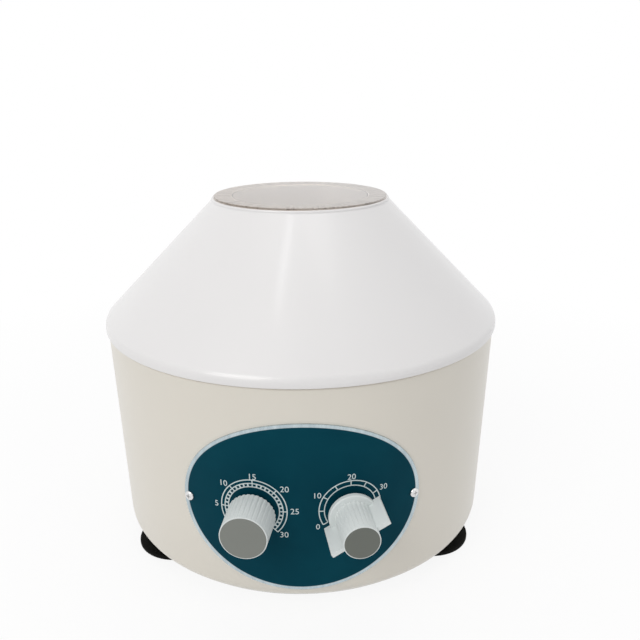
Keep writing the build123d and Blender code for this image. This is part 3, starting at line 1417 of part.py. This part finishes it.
# Rotor head: a dish on a hub, with a spot face and a hole for each tube sleeve
with BuildPart() as rotor_head:
    turn([
        (shaft_end_radius + seat_gap, hub_bottom, 0),
        (rotor_hub_radius, hub_bottom, rotor_hub_round),
        (rotor_rim_radius, dish_top(rotor_rim_radius) - plate_rise, bend_round),
        (rotor_rim_radius, dish_top(rotor_rim_radius), bend_round),
        (rotor_hub_radius, dish_top(rotor_hub_radius), rotor_hub_round),
        (rotor_hub_radius, hub_top, wide_edge),
        (shaft_end_radius + seat_gap, hub_top, 0),
    ])
    for azimuth in tube_azimuths:
        plane = sleeve_plane(azimuth)
        rod(plane, sleeve_radius + sleeve_fit, flange_bottom - sleeve_hole_cut,
            flange_bottom + sleeve_hole_cut, mode=Mode.SUBTRACT)
        rod(plane, sleeve_flange_radius + hole_clearance, flange_bottom, flange_bottom + spot_face_clear,
            mode=Mode.SUBTRACT)
rotor_head.part.label = "rotor_head"
export_step(rotor_head.part, "parts/rotor_head.step")

# Tube sleeves that hang in the rotor head
with BuildPart() as tube_sleeves:
    for azimuth in tube_azimuths:
        turn([
            (0, -sleeve_below, 0),
            (sleeve_radius, -sleeve_below, sleeve_corner + sleeve_wall),
            (sleeve_radius, flange_bottom, 0),
            (sleeve_flange_radius, flange_bottom, 0),
            (sleeve_flange_radius, sleeve_length, round_edge),
            (tube_bore_radius, sleeve_length, soft_edge),
            (tube_bore_radius, sleeve_wall - sleeve_below, sleeve_corner),
            (0, sleeve_wall - sleeve_below, 0),
        ], sleeve_plane(azimuth))
tube_sleeves.part.label = "tube_sleeves"
export_step(tube_sleeves.part, "parts/tube_sleeves.step")

# Rubber cushions in the bottoms of the sleeves
with BuildPart() as tube_cushions:
    for azimuth in tube_azimuths:
        cushion_bottom = sleeve_wall - sleeve_below
        rod(sleeve_plane(azimuth), cushion_radius, cushion_bottom, cushion_bottom + cushion_thickness)
tube_cushions.part.label = "tube_cushions"
export_step(tube_cushions.part, "parts/tube_cushions.step")

# Cap nut on the shaft, over the rotor's hub
nut_flute_circle = rotor_nut_radius + rotor_nut_flute_radius - rotor_nut_flute_depth
with BuildPart() as rotor_nut:
    turn([
        (0, hub_top, 0),
        (rotor_nut_radius, hub_top, round_edge),
        (rotor_nut_radius, hub_top + rotor_nut_height, rotor_nut_round),
        (0, hub_top + rotor_nut_height, 0),
    ])
    with BuildSketch(Plane.XY.offset(hub_top - cut_past)):
        with PolarLocations(nut_flute_circle, rotor_nut_flutes):
            Circle(rotor_nut_flute_radius)
    extrude(amount=rotor_nut_height + 2 * cut_past, mode=Mode.SUBTRACT)
    rod(Plane.XY, shaft_end_radius + seat_gap, hub_top - cut_past,
        hub_top + rotor_thread_length + hole_clearance, mode=Mode.SUBTRACT)
rotor_nut.part.label = "rotor_nut"
export_step(rotor_nut.part, "parts/rotor_nut.step")
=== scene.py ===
from math import cos, radians, sin

import bpy
from mathutils import Matrix, Vector


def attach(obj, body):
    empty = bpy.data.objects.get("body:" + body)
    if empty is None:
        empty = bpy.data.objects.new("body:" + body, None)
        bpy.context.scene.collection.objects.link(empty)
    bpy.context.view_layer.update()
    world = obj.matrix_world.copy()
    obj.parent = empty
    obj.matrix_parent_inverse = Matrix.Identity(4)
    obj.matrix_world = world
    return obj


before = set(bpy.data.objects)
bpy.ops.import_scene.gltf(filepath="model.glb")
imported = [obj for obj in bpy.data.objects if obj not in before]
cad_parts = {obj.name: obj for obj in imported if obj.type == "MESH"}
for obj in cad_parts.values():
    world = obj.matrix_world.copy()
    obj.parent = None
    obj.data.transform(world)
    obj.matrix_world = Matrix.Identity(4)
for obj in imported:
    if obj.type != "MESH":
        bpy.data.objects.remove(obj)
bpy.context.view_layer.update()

MM = 0.001

# Sizes of the drum, the panel, the dials and the lid, in millimetres, as the CAD has them
DRUM_BOTTOM = 9.0
DRUM_HEIGHT = 137.2
DRUM_TOP_RADIUS = 128.5
DRUM_BOTTOM_RADIUS = 125.0
PANEL_THICKNESS = 1.0
PANEL_CENTRE = 71.9
FACE_HALF_WIDTH = 69.4
FACE_HALF_HEIGHT = 52.3
DIAL_ARC = 27.5
DIAL_HEIGHT = 71.2
LID_RIM_RADIUS = 130.0
LID_TOP_RADIUS = 57.8
LID_SHOULDER = 151.2
LID_CONE_TOP = 224.3
LID_UNDER_LIP = 224.5
LID_SKIN = 1.2


# Building blocks of the materials

# Values of a noise between which a colour or a gloss changes
NOISE_LOW = 0.3
NOISE_HIGH = 0.7

# Depth of the grain in a surface, in metres, and the smoothest gloss that a finish reaches
GRAIN_DEPTH = 0.00002
SMOOTHEST = 0.02

# Where a mix node keeps its two colours and their mixture, and where a shader mix keeps its shaders
COLOUR_A = 6
COLOUR_B = 7
COLOUR_RESULT = 2
SHADER_A = 1
SHADER_B = 2


def node_material(name):
    """A new material, its node tree and its Principled shader."""
    made = bpy.data.materials.new(name)
    made.use_nodes = True
    tree = made.node_tree
    shader = tree.nodes["Principled BSDF"]
    return made, tree, shader


def add(tree, kind, **inputs):
    """A node of a kind, with plain values on its inputs by name."""
    node = tree.nodes.new(kind)
    for key, value in inputs.items():
        node.inputs[key.replace("_", " ")].default_value = value
    return node


def put(tree, term, socket):
    """A plain value or another node's socket, put on an input."""
    if isinstance(term, (int, float)):
        socket.default_value = term
    else:
        tree.links.new(term, socket)


def noise(tree, scale, detail=3.0, roughness=0.5, stretch=None):
    """Noise over the object's own coordinates, so that it moves with the piece."""
    place = tree.nodes.new("ShaderNodeTexCoord").outputs["Object"]
    texture = add(tree, "ShaderNodeTexNoise", Scale=scale, Detail=detail, Roughness=roughness)
    if stretch:
        mapping = add(tree, "ShaderNodeMapping", Scale=stretch)
        tree.links.new(place, mapping.inputs["Vector"])
        place = mapping.outputs["Vector"]
    tree.links.new(place, texture.inputs["Vector"])
    return texture.outputs["Fac"]


def ramp(tree, value, low, high, first, second):
    """A colour that goes from first to second as a value goes from low to high."""
    node = tree.nodes.new("ShaderNodeValToRGB")
    start, end = node.color_ramp.elements
    start.position, end.position = low, high
    start.color, end.color = (*first, 1), (*second, 1)
    tree.links.new(value, node.inputs["Fac"])
    return node.outputs["Color"]


def mottle(tree, value, first, second):
    """Two colours that change into each other with a noise."""
    return ramp(tree, value, NOISE_LOW, NOISE_HIGH, first, second)


def span(tree, value, low, high, to_low, to_high):
    """A value mapped from one range to another."""
    ends = {"From_Min": low, "From_Max": high, "To_Min": to_low, "To_Max": to_high}
    node = add(tree, "ShaderNodeMapRange", **ends)
    tree.links.new(value, node.inputs["Value"])
    return node.outputs["Result"]


def calc(tree, operation, *terms):
    """One step of arithmetic on values and sockets."""
    node = tree.nodes.new("ShaderNodeMath")
    node.operation = operation
    for term, socket in zip(terms, node.inputs):
        put(tree, term, socket)
    return node.outputs["Value"]


def hypotenuse(tree, first, second):
    """The length of a flat vector from its two parts."""
    squares = [calc(tree, "MULTIPLY", part, part) for part in (first, second)]
    return calc(tree, "SQRT", calc(tree, "ADD", *squares))


def position(tree):
    """The three coordinates of a point on the piece, in metres."""
    place = tree.nodes.new("ShaderNodeTexCoord")
    axes = tree.nodes.new("ShaderNodeSeparateXYZ")
    tree.links.new(place.outputs["Object"], axes.inputs["Vector"])
    return axes.outputs["X"], axes.outputs["Y"], axes.outputs["Z"]


def blend(tree, factor, first, second, kind="MIX"):
    """Two colours mixed by a value or a socket."""
    node = tree.nodes.new("ShaderNodeMix")
    node.data_type = "RGBA"
    node.blend_type = kind
    put(tree, factor, node.inputs["Factor"])
    tree.links.new(first, node.inputs[COLOUR_A])
    tree.links.new(second, node.inputs[COLOUR_B])
    return node.outputs[COLOUR_RESULT]


def blend_shaders(tree, factor, first, second):
    """Two shaders mixed by a socket."""
    node = tree.nodes.new("ShaderNodeMixShader")
    tree.links.new(factor, node.inputs["Fac"])
    tree.links.new(first, node.inputs[SHADER_A])
    tree.links.new(second, node.inputs[SHADER_B])
    return node.outputs["Shader"]


def add_grain(tree, shader, height, strength):
    """A fine relief in the surface, from a noise."""
    lift = add(tree, "ShaderNodeBump", Strength=strength, Distance=GRAIN_DEPTH)
    tree.links.new(height, lift.inputs["Height"])
    tree.links.new(lift.outputs["Normal"], shader.inputs["Normal"])


def shade(colour, factor):
    """A colour made lighter or darker."""
    return tuple(min(1.0, channel * factor) for channel in colour)


def seen_directly(tree):
    """1 for what the camera sees, also in a mirror or through the window, and 0 otherwise."""
    path = tree.nodes.new("ShaderNodeLightPath").outputs
    mirrored = calc(tree, "MAXIMUM", path["Is Camera Ray"], path["Is Glossy Ray"])
    return calc(tree, "MAXIMUM", mirrored, path["Is Transmission Ray"])


def finish_material(name, colour, rough, metal=0.0, grain=900.0, stretch=None, bump=0.04,
                    vary=0.03, vary_scale=14.0, rough_vary=0.06, specular=0.5,
                    coat=0.0, coat_rough=0.08):
    """A plain finish with a slow change of colour, uneven gloss and a fine grain."""
    made, tree, shader = node_material(name)
    slow = noise(tree, vary_scale, detail=4.0)
    tone = mottle(tree, slow, shade(colour, 1 - vary), shade(colour, 1 + vary))
    tree.links.new(tone, shader.inputs["Base Color"])
    fine = noise(tree, grain, roughness=0.6, stretch=stretch)
    smoother = max(SMOOTHEST, rough - rough_vary)
    gloss = span(tree, fine, NOISE_LOW, NOISE_HIGH, smoother, rough + rough_vary)
    tree.links.new(gloss, shader.inputs["Roughness"])
    add_grain(tree, shader, fine, bump)
    shader.inputs["Metallic"].default_value = metal
    shader.inputs["Specular IOR Level"].default_value = specular
    if coat:
        shader.inputs["Coat Weight"].default_value = coat
        shader.inputs["Coat Roughness"].default_value = coat_rough
    return made


# Paint, plastic and rubber
drum_paint = finish_material("drum_paint", (0.70, 0.665, 0.59), 0.36, grain=700, bump=0.05,
                             vary=0.012, rough_vary=0.03, coat=0.2, coat_rough=0.15)
knob_grey = finish_material("knob_grey", (0.70, 0.74, 0.73), 0.42, grain=1400, bump=0.10,
                            vary=0.02, specular=0.3)
cap_grey = finish_material("cap_grey", (0.215, 0.225, 0.205), 0.42, grain=1600, bump=0.08,
                           specular=0.2)
# A darker copy of the cap grey, with painted shade, for the speed knob's cap, which faces away from
# the key lamp
cap_grey_painted_shade = finish_material("cap_grey_painted_shade", (0.145, 0.155, 0.137), 0.42, grain=1600, bump=0.08,
                           specular=0.2)
black_plastic = finish_material("black_plastic", (0.022, 0.022, 0.023), 0.45, grain=1800,
                                bump=0.25, vary=0.1, specular=0.35)
black_rubber = finish_material("black_rubber", (0.004, 0.004, 0.003), 0.65, grain=1200,
                               bump=0.30, vary=0.15, specular=0.08)
nylon = finish_material("nylon", (0.74, 0.74, 0.70), 0.45, bump=0.1)
board_green = finish_material("board_green", (0.02, 0.14, 0.06), 0.35, grain=700, bump=0.2,
                              vary=0.15)
carbon = finish_material("carbon", (0.03, 0.03, 0.03), 0.6, grain=1500, bump=0.2, vary=0.2)
ink = finish_material("ink", (0.62, 0.70, 0.70), 0.5, grain=1500, bump=0.1, vary=0.05)

# Metals
zinc = finish_material("zinc", (0.62, 0.62, 0.60), 0.30, metal=1.0, grain=600, bump=0.15,
                       vary=0.10, vary_scale=90)
bright_steel = finish_material("bright_steel", (0.72, 0.72, 0.72), 0.16, metal=1.0, bump=0.05,
                               vary=0.04)
spun_steel = finish_material("spun_steel", (0.62, 0.62, 0.61), 0.27, metal=1.0, grain=260,
                             stretch=(0.15, 0.15, 6.0), bump=0.20, vary=0.05)
cast_metal = finish_material("cast_metal", (0.66, 0.66, 0.67), 0.38, metal=1.0, grain=1100,
                             bump=0.30, vary=0.05)
turned_metal = finish_material("turned_metal", (0.70, 0.70, 0.71), 0.24, metal=1.0, grain=500,
                               bump=0.12, vary=0.04)
brass = finish_material("brass", (0.70, 0.52, 0.24), 0.28, metal=1.0, bump=0.10, vary=0.08)
copper = finish_material("copper", (0.62, 0.27, 0.11), 0.35, metal=1.0, grain=1500,
                         stretch=(1.0, 1.0, 8.0), bump=0.60, vary=0.12)


# Lid
LID_OUTSIDE = (0.755, 0.745, 0.74)
LID_INSIDE = ((0.78, 0.69, 0.60), (0.80, 0.71, 0.62))


def lid_material():
    """White outside, and a warm tone on the inside of the cone."""
    made = finish_material("lid_white", LID_OUTSIDE, 0.34, grain=1100, bump=0.02, vary=0.008,
                           rough_vary=0.02, coat=0.5, coat_rough=0.14)
    tree = made.node_tree
    colour = tree.nodes["Principled BSDF"].inputs["Base Color"]
    outside = colour.links[0].from_socket
    x, y, z = position(tree)
    radius = hypotenuse(tree, x, y)
    slope = (LID_RIM_RADIUS - LID_TOP_RADIUS) / (LID_CONE_TOP - LID_SHOULDER)
    rise = calc(tree, "MAXIMUM", calc(tree, "SUBTRACT", z, LID_SHOULDER * MM), 0.0)
    narrowing = calc(tree, "MULTIPLY", rise, slope)
    skin = calc(tree, "SUBTRACT", calc(tree, "SUBTRACT", LID_RIM_RADIUS * MM, narrowing),
                LID_SKIN * MM)
    under = calc(tree, "LESS_THAN", z, LID_UNDER_LIP * MM)
    within = calc(tree, "LESS_THAN", radius, skin)
    inside = mottle(tree, noise(tree, 25.0, detail=4.0), *LID_INSIDE)
    hidden = calc(tree, "MULTIPLY", under, within)
    tree.links.new(blend(tree, hidden, outside, inside), colour)
    return made


# Control panel
TEAL = ((0.0012, 0.040, 0.062), (0.0018, 0.050, 0.074))
BARE_METAL = ((0.42, 0.50, 0.54), (0.56, 0.64, 0.67))
PAINT_EDGE = (0.997, 1.003)
PAINT_ROUGH = 0.42
BARE_ROUGH = 0.25
BARE_METALLIC = 0.8
PANEL_GRAIN = 0.12
PANEL_SPECULAR = 0.03


def panel_material():
    """Teal paint inside an ellipse round the dials, and bare brushed metal outside it."""
    made, tree, shader = node_material("panel_paint")
    x, y, z = position(tree)
    azimuth = calc(tree, "ARCTAN2", x, calc(tree, "MULTIPLY", y, -1.0))
    across = calc(tree, "MULTIPLY", azimuth, DRUM_TOP_RADIUS / FACE_HALF_WIDTH)
    height = calc(tree, "SUBTRACT", z, PANEL_CENTRE * MM)
    along = calc(tree, "DIVIDE", height, FACE_HALF_HEIGHT * MM)
    paint = span(tree, hypotenuse(tree, across, along), *PAINT_EDGE, 1.0, 0.0)
    teal = mottle(tree, noise(tree, 30.0, detail=4.0), *TEAL)
    brushed = noise(tree, 300.0, roughness=0.6, stretch=(1.0, 1.0, 0.1))
    metal = mottle(tree, brushed, *BARE_METAL)
    tree.links.new(blend(tree, paint, metal, teal), shader.inputs["Base Color"])
    tree.links.new(span(tree, paint, 0.0, 1.0, BARE_METALLIC, 0.0), shader.inputs["Metallic"])
    gloss = span(tree, paint, 0.0, 1.0, BARE_ROUGH, PAINT_ROUGH)
    tree.links.new(gloss, shader.inputs["Roughness"])
    add_grain(tree, shader, noise(tree, 1500.0, detail=2.0), PANEL_GRAIN)
    shader.inputs["Specular IOR Level"].default_value = PANEL_SPECULAR
    return made


# Window of the lid
ACRYLIC_IOR = 1.49
# Warm tint of the plastic, with a painted reflection: the colour is warmer towards the left (-x)
# and nearly clear towards the right
WARM_TINT_AND_PAINTED_REFLECTION = ((1.0, 0.88, 0.78), (1.0, 0.94, 0.90))
PAINTED_REFLECTION_REACH = 0.045
WIPED = ((0.96, 0.96, 0.96), (1.0, 1.0, 1.0))
WIPE_RANGE = (0.35, 0.75)
WIPE_ROUGH = (0.02, 0.06)
WINDOW_SHADOW = (0.98, 0.95, 0.92, 1)


def window_material():
    """Clear, slightly warm plastic with faint wipe marks and a painted warm reflection towards its
    left side, which lets the lamps light the rotor.
    """
    made, tree, shader = node_material("window_clear")
    wipe = noise(tree, 60.0, detail=5.0, roughness=0.6, stretch=(1.0, 4.0, 1.0))
    # Painted reflection: the colour turns warmer towards the window's left side
    side = span(tree, position(tree)[0], -PAINTED_REFLECTION_REACH, PAINTED_REFLECTION_REACH, 0.0, 1.0)
    tint_and_painted_reflection = ramp(tree, side, 0.0, 1.0, *WARM_TINT_AND_PAINTED_REFLECTION)
    clean = ramp(tree, wipe, *WIPE_RANGE, *WIPED)
    tree.links.new(blend(tree, 1.0, tint_and_painted_reflection, clean, "MULTIPLY"), shader.inputs["Base Color"])
    tree.links.new(span(tree, wipe, *WIPE_RANGE, *WIPE_ROUGH), shader.inputs["Roughness"])
    shader.inputs["Transmission Weight"].default_value = 1.0
    shader.inputs["IOR"].default_value = ACRYLIC_IOR
    path = tree.nodes.new("ShaderNodeLightPath")
    through = add(tree, "ShaderNodeBsdfTransparent", Color=WINDOW_SHADOW)
    mixed = blend_shaders(tree, path.outputs["Is Shadow Ray"], shader.outputs["BSDF"],
                          through.outputs["BSDF"])
    tree.links.new(mixed, tree.nodes["Material Output"].inputs["Surface"])
    return made


node_looks = {
    drum_paint: ["drum_housing"],
    lid_material(): ["lid_cone"],
    window_material(): ["lid_window"],
    panel_material(): ["control_panel"],
    knob_grey: ["timer_knob", "speed_knob"],
    cap_grey: ["timer_knob_cap"],
    cap_grey_painted_shade: ["speed_knob_cap"],
    black_plastic: ["timer_case", "speed_case", "triac", "mains_inlet", "fuse_holder",
                    "fuse_cap", "cooling_fan"],
    black_rubber: ["rubber_feet", "rim_gasket", "shaft_seal", "motor_mounts", "tube_cushions"],
    zinc: ["bottom_plate", "base_screws", "foot_screws", "base_nuts", "bowl_screws",
           "body_hinge_screws", "lid_hinge_screws", "inlet_screws", "dial_nuts", "mount_bolts",
           "motor_bracket", "tie_bolts"],
    bright_steel: ["panel_screws", "hinge_pin", "motor_shaft", "bearing_outer_rings",
                   "bearing_inner_rings", "bearing_balls", "rotor_nut"],
    spun_steel: ["chamber_bowl", "motor_shell", "field_core", "armature_core"],
    cast_metal: ["motor_lower_cap", "motor_upper_cap", "heat_sink", "rotor_head"],
    turned_metal: ["tube_sleeves", "body_hinge_bracket", "lid_hinge_bracket"],
    brass: ["timer_shaft", "speed_shaft", "inlet_pins", "brush_tubes"],
    copper: ["field_coils", "armature_coils", "commutator"],
    board_green: ["control_board"],
    carbon: ["brushes"],
    nylon: ["board_posts"],
}
for look, names in node_looks.items():
    for name in names:
        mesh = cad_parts[name].data
        mesh.materials.clear()
        mesh.materials.append(look)


# Markings of the two dials, in millimetres and in degrees from the top, clockwise

# Underside and face of the ink, measured from the panel's face, and the width of its lines
INK_LOW = -0.02
INK_HIGH = 0.07
LINE_WIDTH = 0.62
NUMBER_RESOLUTION = 4

TIMER_CENTRE = (-DIAL_ARC, DIAL_HEIGHT)
TIMER_RINGS = (19.2, 17.0, 14.9)
TIMER_SWEEP = 135
TIMER_ARC_STEPS = 90
TIMER_MINUTES = 30
TIMER_MINUTE_TURN = 9
TIMER_LONG_TICK_EVERY = 5
TIMER_LONG_TICK = (14.9, 19.2, LINE_WIDTH)
TIMER_SHORT_TICK = (15.1, 16.8, 0.95)
TIMER_NUMBER_SIZE = 5.2
TIMER_NUMBERS = {"0": (-15.5, -15.5), "5": (-22.3, 0.2), "10": (-17.3, 14.6),
                 "15": (0.0, 21.1), "20": (18.0, 14.4), "25": (23.5, 0.1), "30": (17.2, -15.5)}

SPEED_CENTRE = (DIAL_ARC, DIAL_HEIGHT)
SPEED_RINGS = (18.0, 15.0)
SPEED_SWEEP = 120
SPEED_ARC_STEPS = 80
SPEED_TICKS = 9
SPEED_TICK_TURN = 30
SPEED_TICK = (15.0, 18.0, LINE_WIDTH)
SPEED_NUMBER_SIZE = 5.0
SPEED_NUMBERS = {"0": (-18.6, -10.4), "10": (-19.1, 10.1), "20": (0.3, 20.3),
                 "30": (19.5, 10.3), "40": (18.9, -10.6)}


def wall_radius(height):
    """The drum's outer radius at a height."""
    rise = (height - DRUM_BOTTOM) / DRUM_HEIGHT
    return DRUM_BOTTOM_RADIUS + (DRUM_TOP_RADIUS - DRUM_BOTTOM_RADIUS) * rise


def on_panel(arc, height, proud):
    """A point on the panel, from its arc length right of the front and its height, in metres."""
    radius = wall_radius(height) + PANEL_THICKNESS + proud
    angle = arc / DRUM_TOP_RADIUS
    return Vector((radius * sin(angle), -radius * cos(angle), height)) * MM


def ring_arc(verts, faces, centre, radius, sweep, steps):
    """A flat closed band of ink round a centre, as far to both sides of the top as the sweep."""
    inner, outer = radius - LINE_WIDTH / 2, radius + LINE_WIDTH / 2
    corners = ((inner, INK_LOW), (outer, INK_LOW), (outer, INK_HIGH), (inner, INK_HIGH))
    base = len(verts)
    for index in range(steps + 1):
        angle = radians(2 * sweep * index / steps - sweep)
        for reach, proud in corners:
            verts.append(on_panel(centre[0] + reach * sin(angle),
                                  centre[1] + reach * cos(angle), proud))
    for index in range(steps):
        near = base + 4 * index
        far = near + 4
        for side in range(4):
            other = (side + 1) % 4
            faces.append((near + side, near + other, far + other, far + side))
    last = base + 4 * steps
    faces.append((base, base + 3, base + 2, base + 1))
    faces.append((last, last + 1, last + 2, last + 3))


def tick(verts, faces, centre, angle, inner, outer, width):
    """A short radial bar of ink."""
    turn = radians(angle)
    base = len(verts)
    for proud in (INK_LOW, INK_HIGH):
        for radius, side in ((inner, -1), (inner, 1), (outer, 1), (outer, -1)):
            x = radius * sin(turn) + side * width / 2 * cos(turn)
            z = radius * cos(turn) - side * width / 2 * sin(turn)
            verts.append(on_panel(centre[0] + x, centre[1] + z, proud))
    box = ((0, 3, 2, 1), (4, 5, 6, 7), (0, 1, 5, 4), (1, 2, 6, 5), (2, 3, 7, 6), (3, 0, 4, 7))
    for quad in box:
        faces.append(tuple(base + corner for corner in quad))


def printed(name, data):
    """A piece of ink on the panel, which stays with the fixed body."""
    data.materials.clear()
    data.materials.append(ink)
    piece = bpy.data.objects.new(name, data)
    bpy.context.scene.collection.objects.link(piece)
    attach(piece, "base")


def scale(name, centre, rings, sweep, arc_steps, ticks):
    """The rings and the ticks of a dial, as one piece of ink."""
    verts, faces = [], []
    for radius in rings:
        ring_arc(verts, faces, centre, radius, sweep, arc_steps)
    for angle, form in ticks:
        tick(verts, faces, centre, angle, *form)
    data = bpy.data.meshes.new(name)
    data.from_pydata([tuple(vertex) for vertex in verts], [], faces)
    data.validate()
    data.update()
    printed(name, data)


def number(name, text, centre, offset, size):
    """A printed number on the panel, from the built-in font."""
    curve = bpy.data.curves.new(name + "_curve", "FONT")
    curve.body = text
    curve.size = size
    curve.align_x = "CENTER"
    curve.align_y = "CENTER"
    curve.extrude = (INK_HIGH - INK_LOW) / 2
    curve.resolution_u = NUMBER_RESOLUTION
    holder = bpy.data.objects.new(name + "_holder", curve)
    bpy.context.scene.collection.objects.link(holder)
    bpy.context.view_layer.update()
    data = bpy.data.meshes.new_from_object(holder)
    bpy.data.objects.remove(holder)
    middle = (INK_HIGH + INK_LOW) / 2
    for vertex in data.vertices:
        x, y, z = vertex.co
        vertex.co = on_panel(centre[0] + offset[0] + x, centre[1] + offset[1] + y, middle + z)
    data.update()
    printed(name, data)


timer_ticks = []
for minute in range(TIMER_MINUTES + 1):
    form = TIMER_SHORT_TICK if minute % TIMER_LONG_TICK_EVERY else TIMER_LONG_TICK
    timer_ticks.append((TIMER_MINUTE_TURN * minute - TIMER_SWEEP, form))
speed_ticks = [(SPEED_TICK_TURN * step - SPEED_SWEEP, SPEED_TICK) for step in range(SPEED_TICKS)]
scale("timer_scale", TIMER_CENTRE, TIMER_RINGS, TIMER_SWEEP, TIMER_ARC_STEPS, timer_ticks)
scale("speed_scale", SPEED_CENTRE, SPEED_RINGS, SPEED_SWEEP, SPEED_ARC_STEPS, speed_ticks)
for text, offset in TIMER_NUMBERS.items():
    number("timer_number_" + text, text, TIMER_CENTRE, offset, TIMER_NUMBER_SIZE)
for text, offset in SPEED_NUMBERS.items():
    number("speed_number_" + text, text, SPEED_CENTRE, offset, SPEED_NUMBER_SIZE)


# Camera, fitted to the photo: distance and height in millimetres, angles in radians
CAMERA_DISTANCE = 456.25
CAMERA_HEIGHT = 297.6
CAMERA_SIDE = 0.0114
CAMERA_TURN = 0.0160
CAMERA_DOWN = 0.3337
CAMERA_ROLL = -0.0047
CAMERA_LENS = 39.05
CAMERA_SENSOR = 36.0
CAMERA_CLIP = (0.01, 50.0)

forward = Vector((sin(CAMERA_TURN) * cos(CAMERA_DOWN), cos(CAMERA_TURN) * cos(CAMERA_DOWN),
                  -sin(CAMERA_DOWN)))
level = Vector((cos(CAMERA_TURN), -sin(CAMERA_TURN), 0))
upward = level.cross(forward)
camera_x = level * cos(CAMERA_ROLL) + upward * sin(CAMERA_ROLL)
camera_y = upward * cos(CAMERA_ROLL) - level * sin(CAMERA_ROLL)
camera_data = bpy.data.cameras.new("camera")
camera_data.lens = CAMERA_LENS
camera_data.sensor_width = CAMERA_SENSOR
camera_data.clip_start, camera_data.clip_end = CAMERA_CLIP
camera = bpy.data.objects.new("camera", camera_data)
bpy.context.scene.collection.objects.link(camera)
place = Vector((CAMERA_DISTANCE * sin(CAMERA_SIDE), -CAMERA_DISTANCE * cos(CAMERA_SIDE),
                CAMERA_HEIGHT)) * MM
axes = Matrix((camera_x, camera_y, -forward)).transposed()
camera.matrix_world = Matrix.Translation(place) @ axes.to_4x4()
bpy.context.scene.camera = camera


# Floor and world, both white to the camera. The floor shows some of its shadow near the object.
FLOOR_REACH = 6.0
FLOOR_DROP = 0.0002
FLOOR_GLOW = 0.88
FLOOR_FADE = (0.20, 0.60)
FLOOR_MATTE = (0.90, 0.90, 0.90, 1)
WHITE = (1, 1, 1, 1)
WORLD_LIGHT = (0.98, 0.98, 1.0, 1)
WORLD_STRENGTH = 0.55


def floor_material():
    """Matte to the light, and white to the camera, a little less so near the object."""
    made = bpy.data.materials.new("floor_white")
    made.use_nodes = True
    tree = made.node_tree
    tree.nodes.clear()
    output = tree.nodes.new("ShaderNodeOutputMaterial")
    matte = add(tree, "ShaderNodeBsdfDiffuse", Color=FLOOR_MATTE)
    glow = add(tree, "ShaderNodeEmission", Color=WHITE, Strength=1.0)
    place = tree.nodes.new("ShaderNodeTexCoord")
    distance = tree.nodes.new("ShaderNodeVectorMath")
    distance.operation = "LENGTH"
    tree.links.new(place.outputs["Object"], distance.inputs[0])
    fade = span(tree, distance.outputs["Value"], *FLOOR_FADE, FLOOR_GLOW, 1.0)
    shown = calc(tree, "MULTIPLY", seen_directly(tree), fade)
    mixed = blend_shaders(tree, shown, matte.outputs["BSDF"], glow.outputs["Emission"])
    tree.links.new(mixed, output.inputs["Surface"])
    return made


floor_data = bpy.data.meshes.new("floor")
floor_corners = [(-FLOOR_REACH, -FLOOR_REACH, 0), (FLOOR_REACH, -FLOOR_REACH, 0),
                 (FLOOR_REACH, FLOOR_REACH, 0), (-FLOOR_REACH, FLOOR_REACH, 0)]
floor_data.from_pydata(floor_corners, [], [(0, 1, 2, 3)])
floor = bpy.data.objects.new("floor", floor_data)
bpy.context.scene.collection.objects.link(floor)
floor_data.materials.append(floor_material())
floor.location.z = -FLOOR_DROP

world = bpy.data.worlds.new("studio")
bpy.context.scene.world = world
world.use_nodes = True
tree = world.node_tree
tree.nodes.clear()
output = tree.nodes.new("ShaderNodeOutputWorld")
lit = add(tree, "ShaderNodeBackground", Color=WORLD_LIGHT, Strength=WORLD_STRENGTH)
shown = add(tree, "ShaderNodeBackground", Color=WHITE, Strength=1.0)
mixed = blend_shaders(tree, seen_directly(tree), lit.outputs["Background"],
                      shown.outputs["Background"])
tree.links.new(mixed, output.inputs["Surface"])


# Lamps, in metres and watts
OBJECT_MIDDLE = (0, 0, 0.1)
LID_FRONT = (-0.01, -0.08, 0.19)


def area_lamp(name, place, target, size, power, colour=(1, 1, 1)):
    """A rectangular lamp that faces a point."""
    data = bpy.data.lights.new(name, "AREA")
    data.shape = "RECTANGLE"
    data.size, data.size_y = size
    data.energy = power
    data.color = colour
    lamp = bpy.data.objects.new(name, data)
    bpy.context.scene.collection.objects.link(lamp)
    lamp.location = place
    lamp.rotation_mode = "QUATERNION"
    lamp.rotation_quaternion = (Vector(target) - Vector(place)).to_track_quat("-Z", "Y")


area_lamp("key", (-1.1, -1.5, 1.5), OBJECT_MIDDLE, size=(1.2, 1.2), power=17.0,
          colour=(1.0, 0.99, 0.97))
area_lamp("fill", (1.6, -1.0, 1.1), OBJECT_MIDDLE, size=(1.2, 1.2), power=2.0,
          colour=(1.0, 0.99, 0.95))
area_lamp("top", (0.1, 0.3, 1.9), OBJECT_MIDDLE, size=(1.5, 1.5), power=9.0)
area_lamp("strip", (-0.29, -0.50, 1.9), LID_FRONT, size=(0.12, 0.34), power=0.55)

bpy.context.scene.view_settings.view_transform = "Standard"
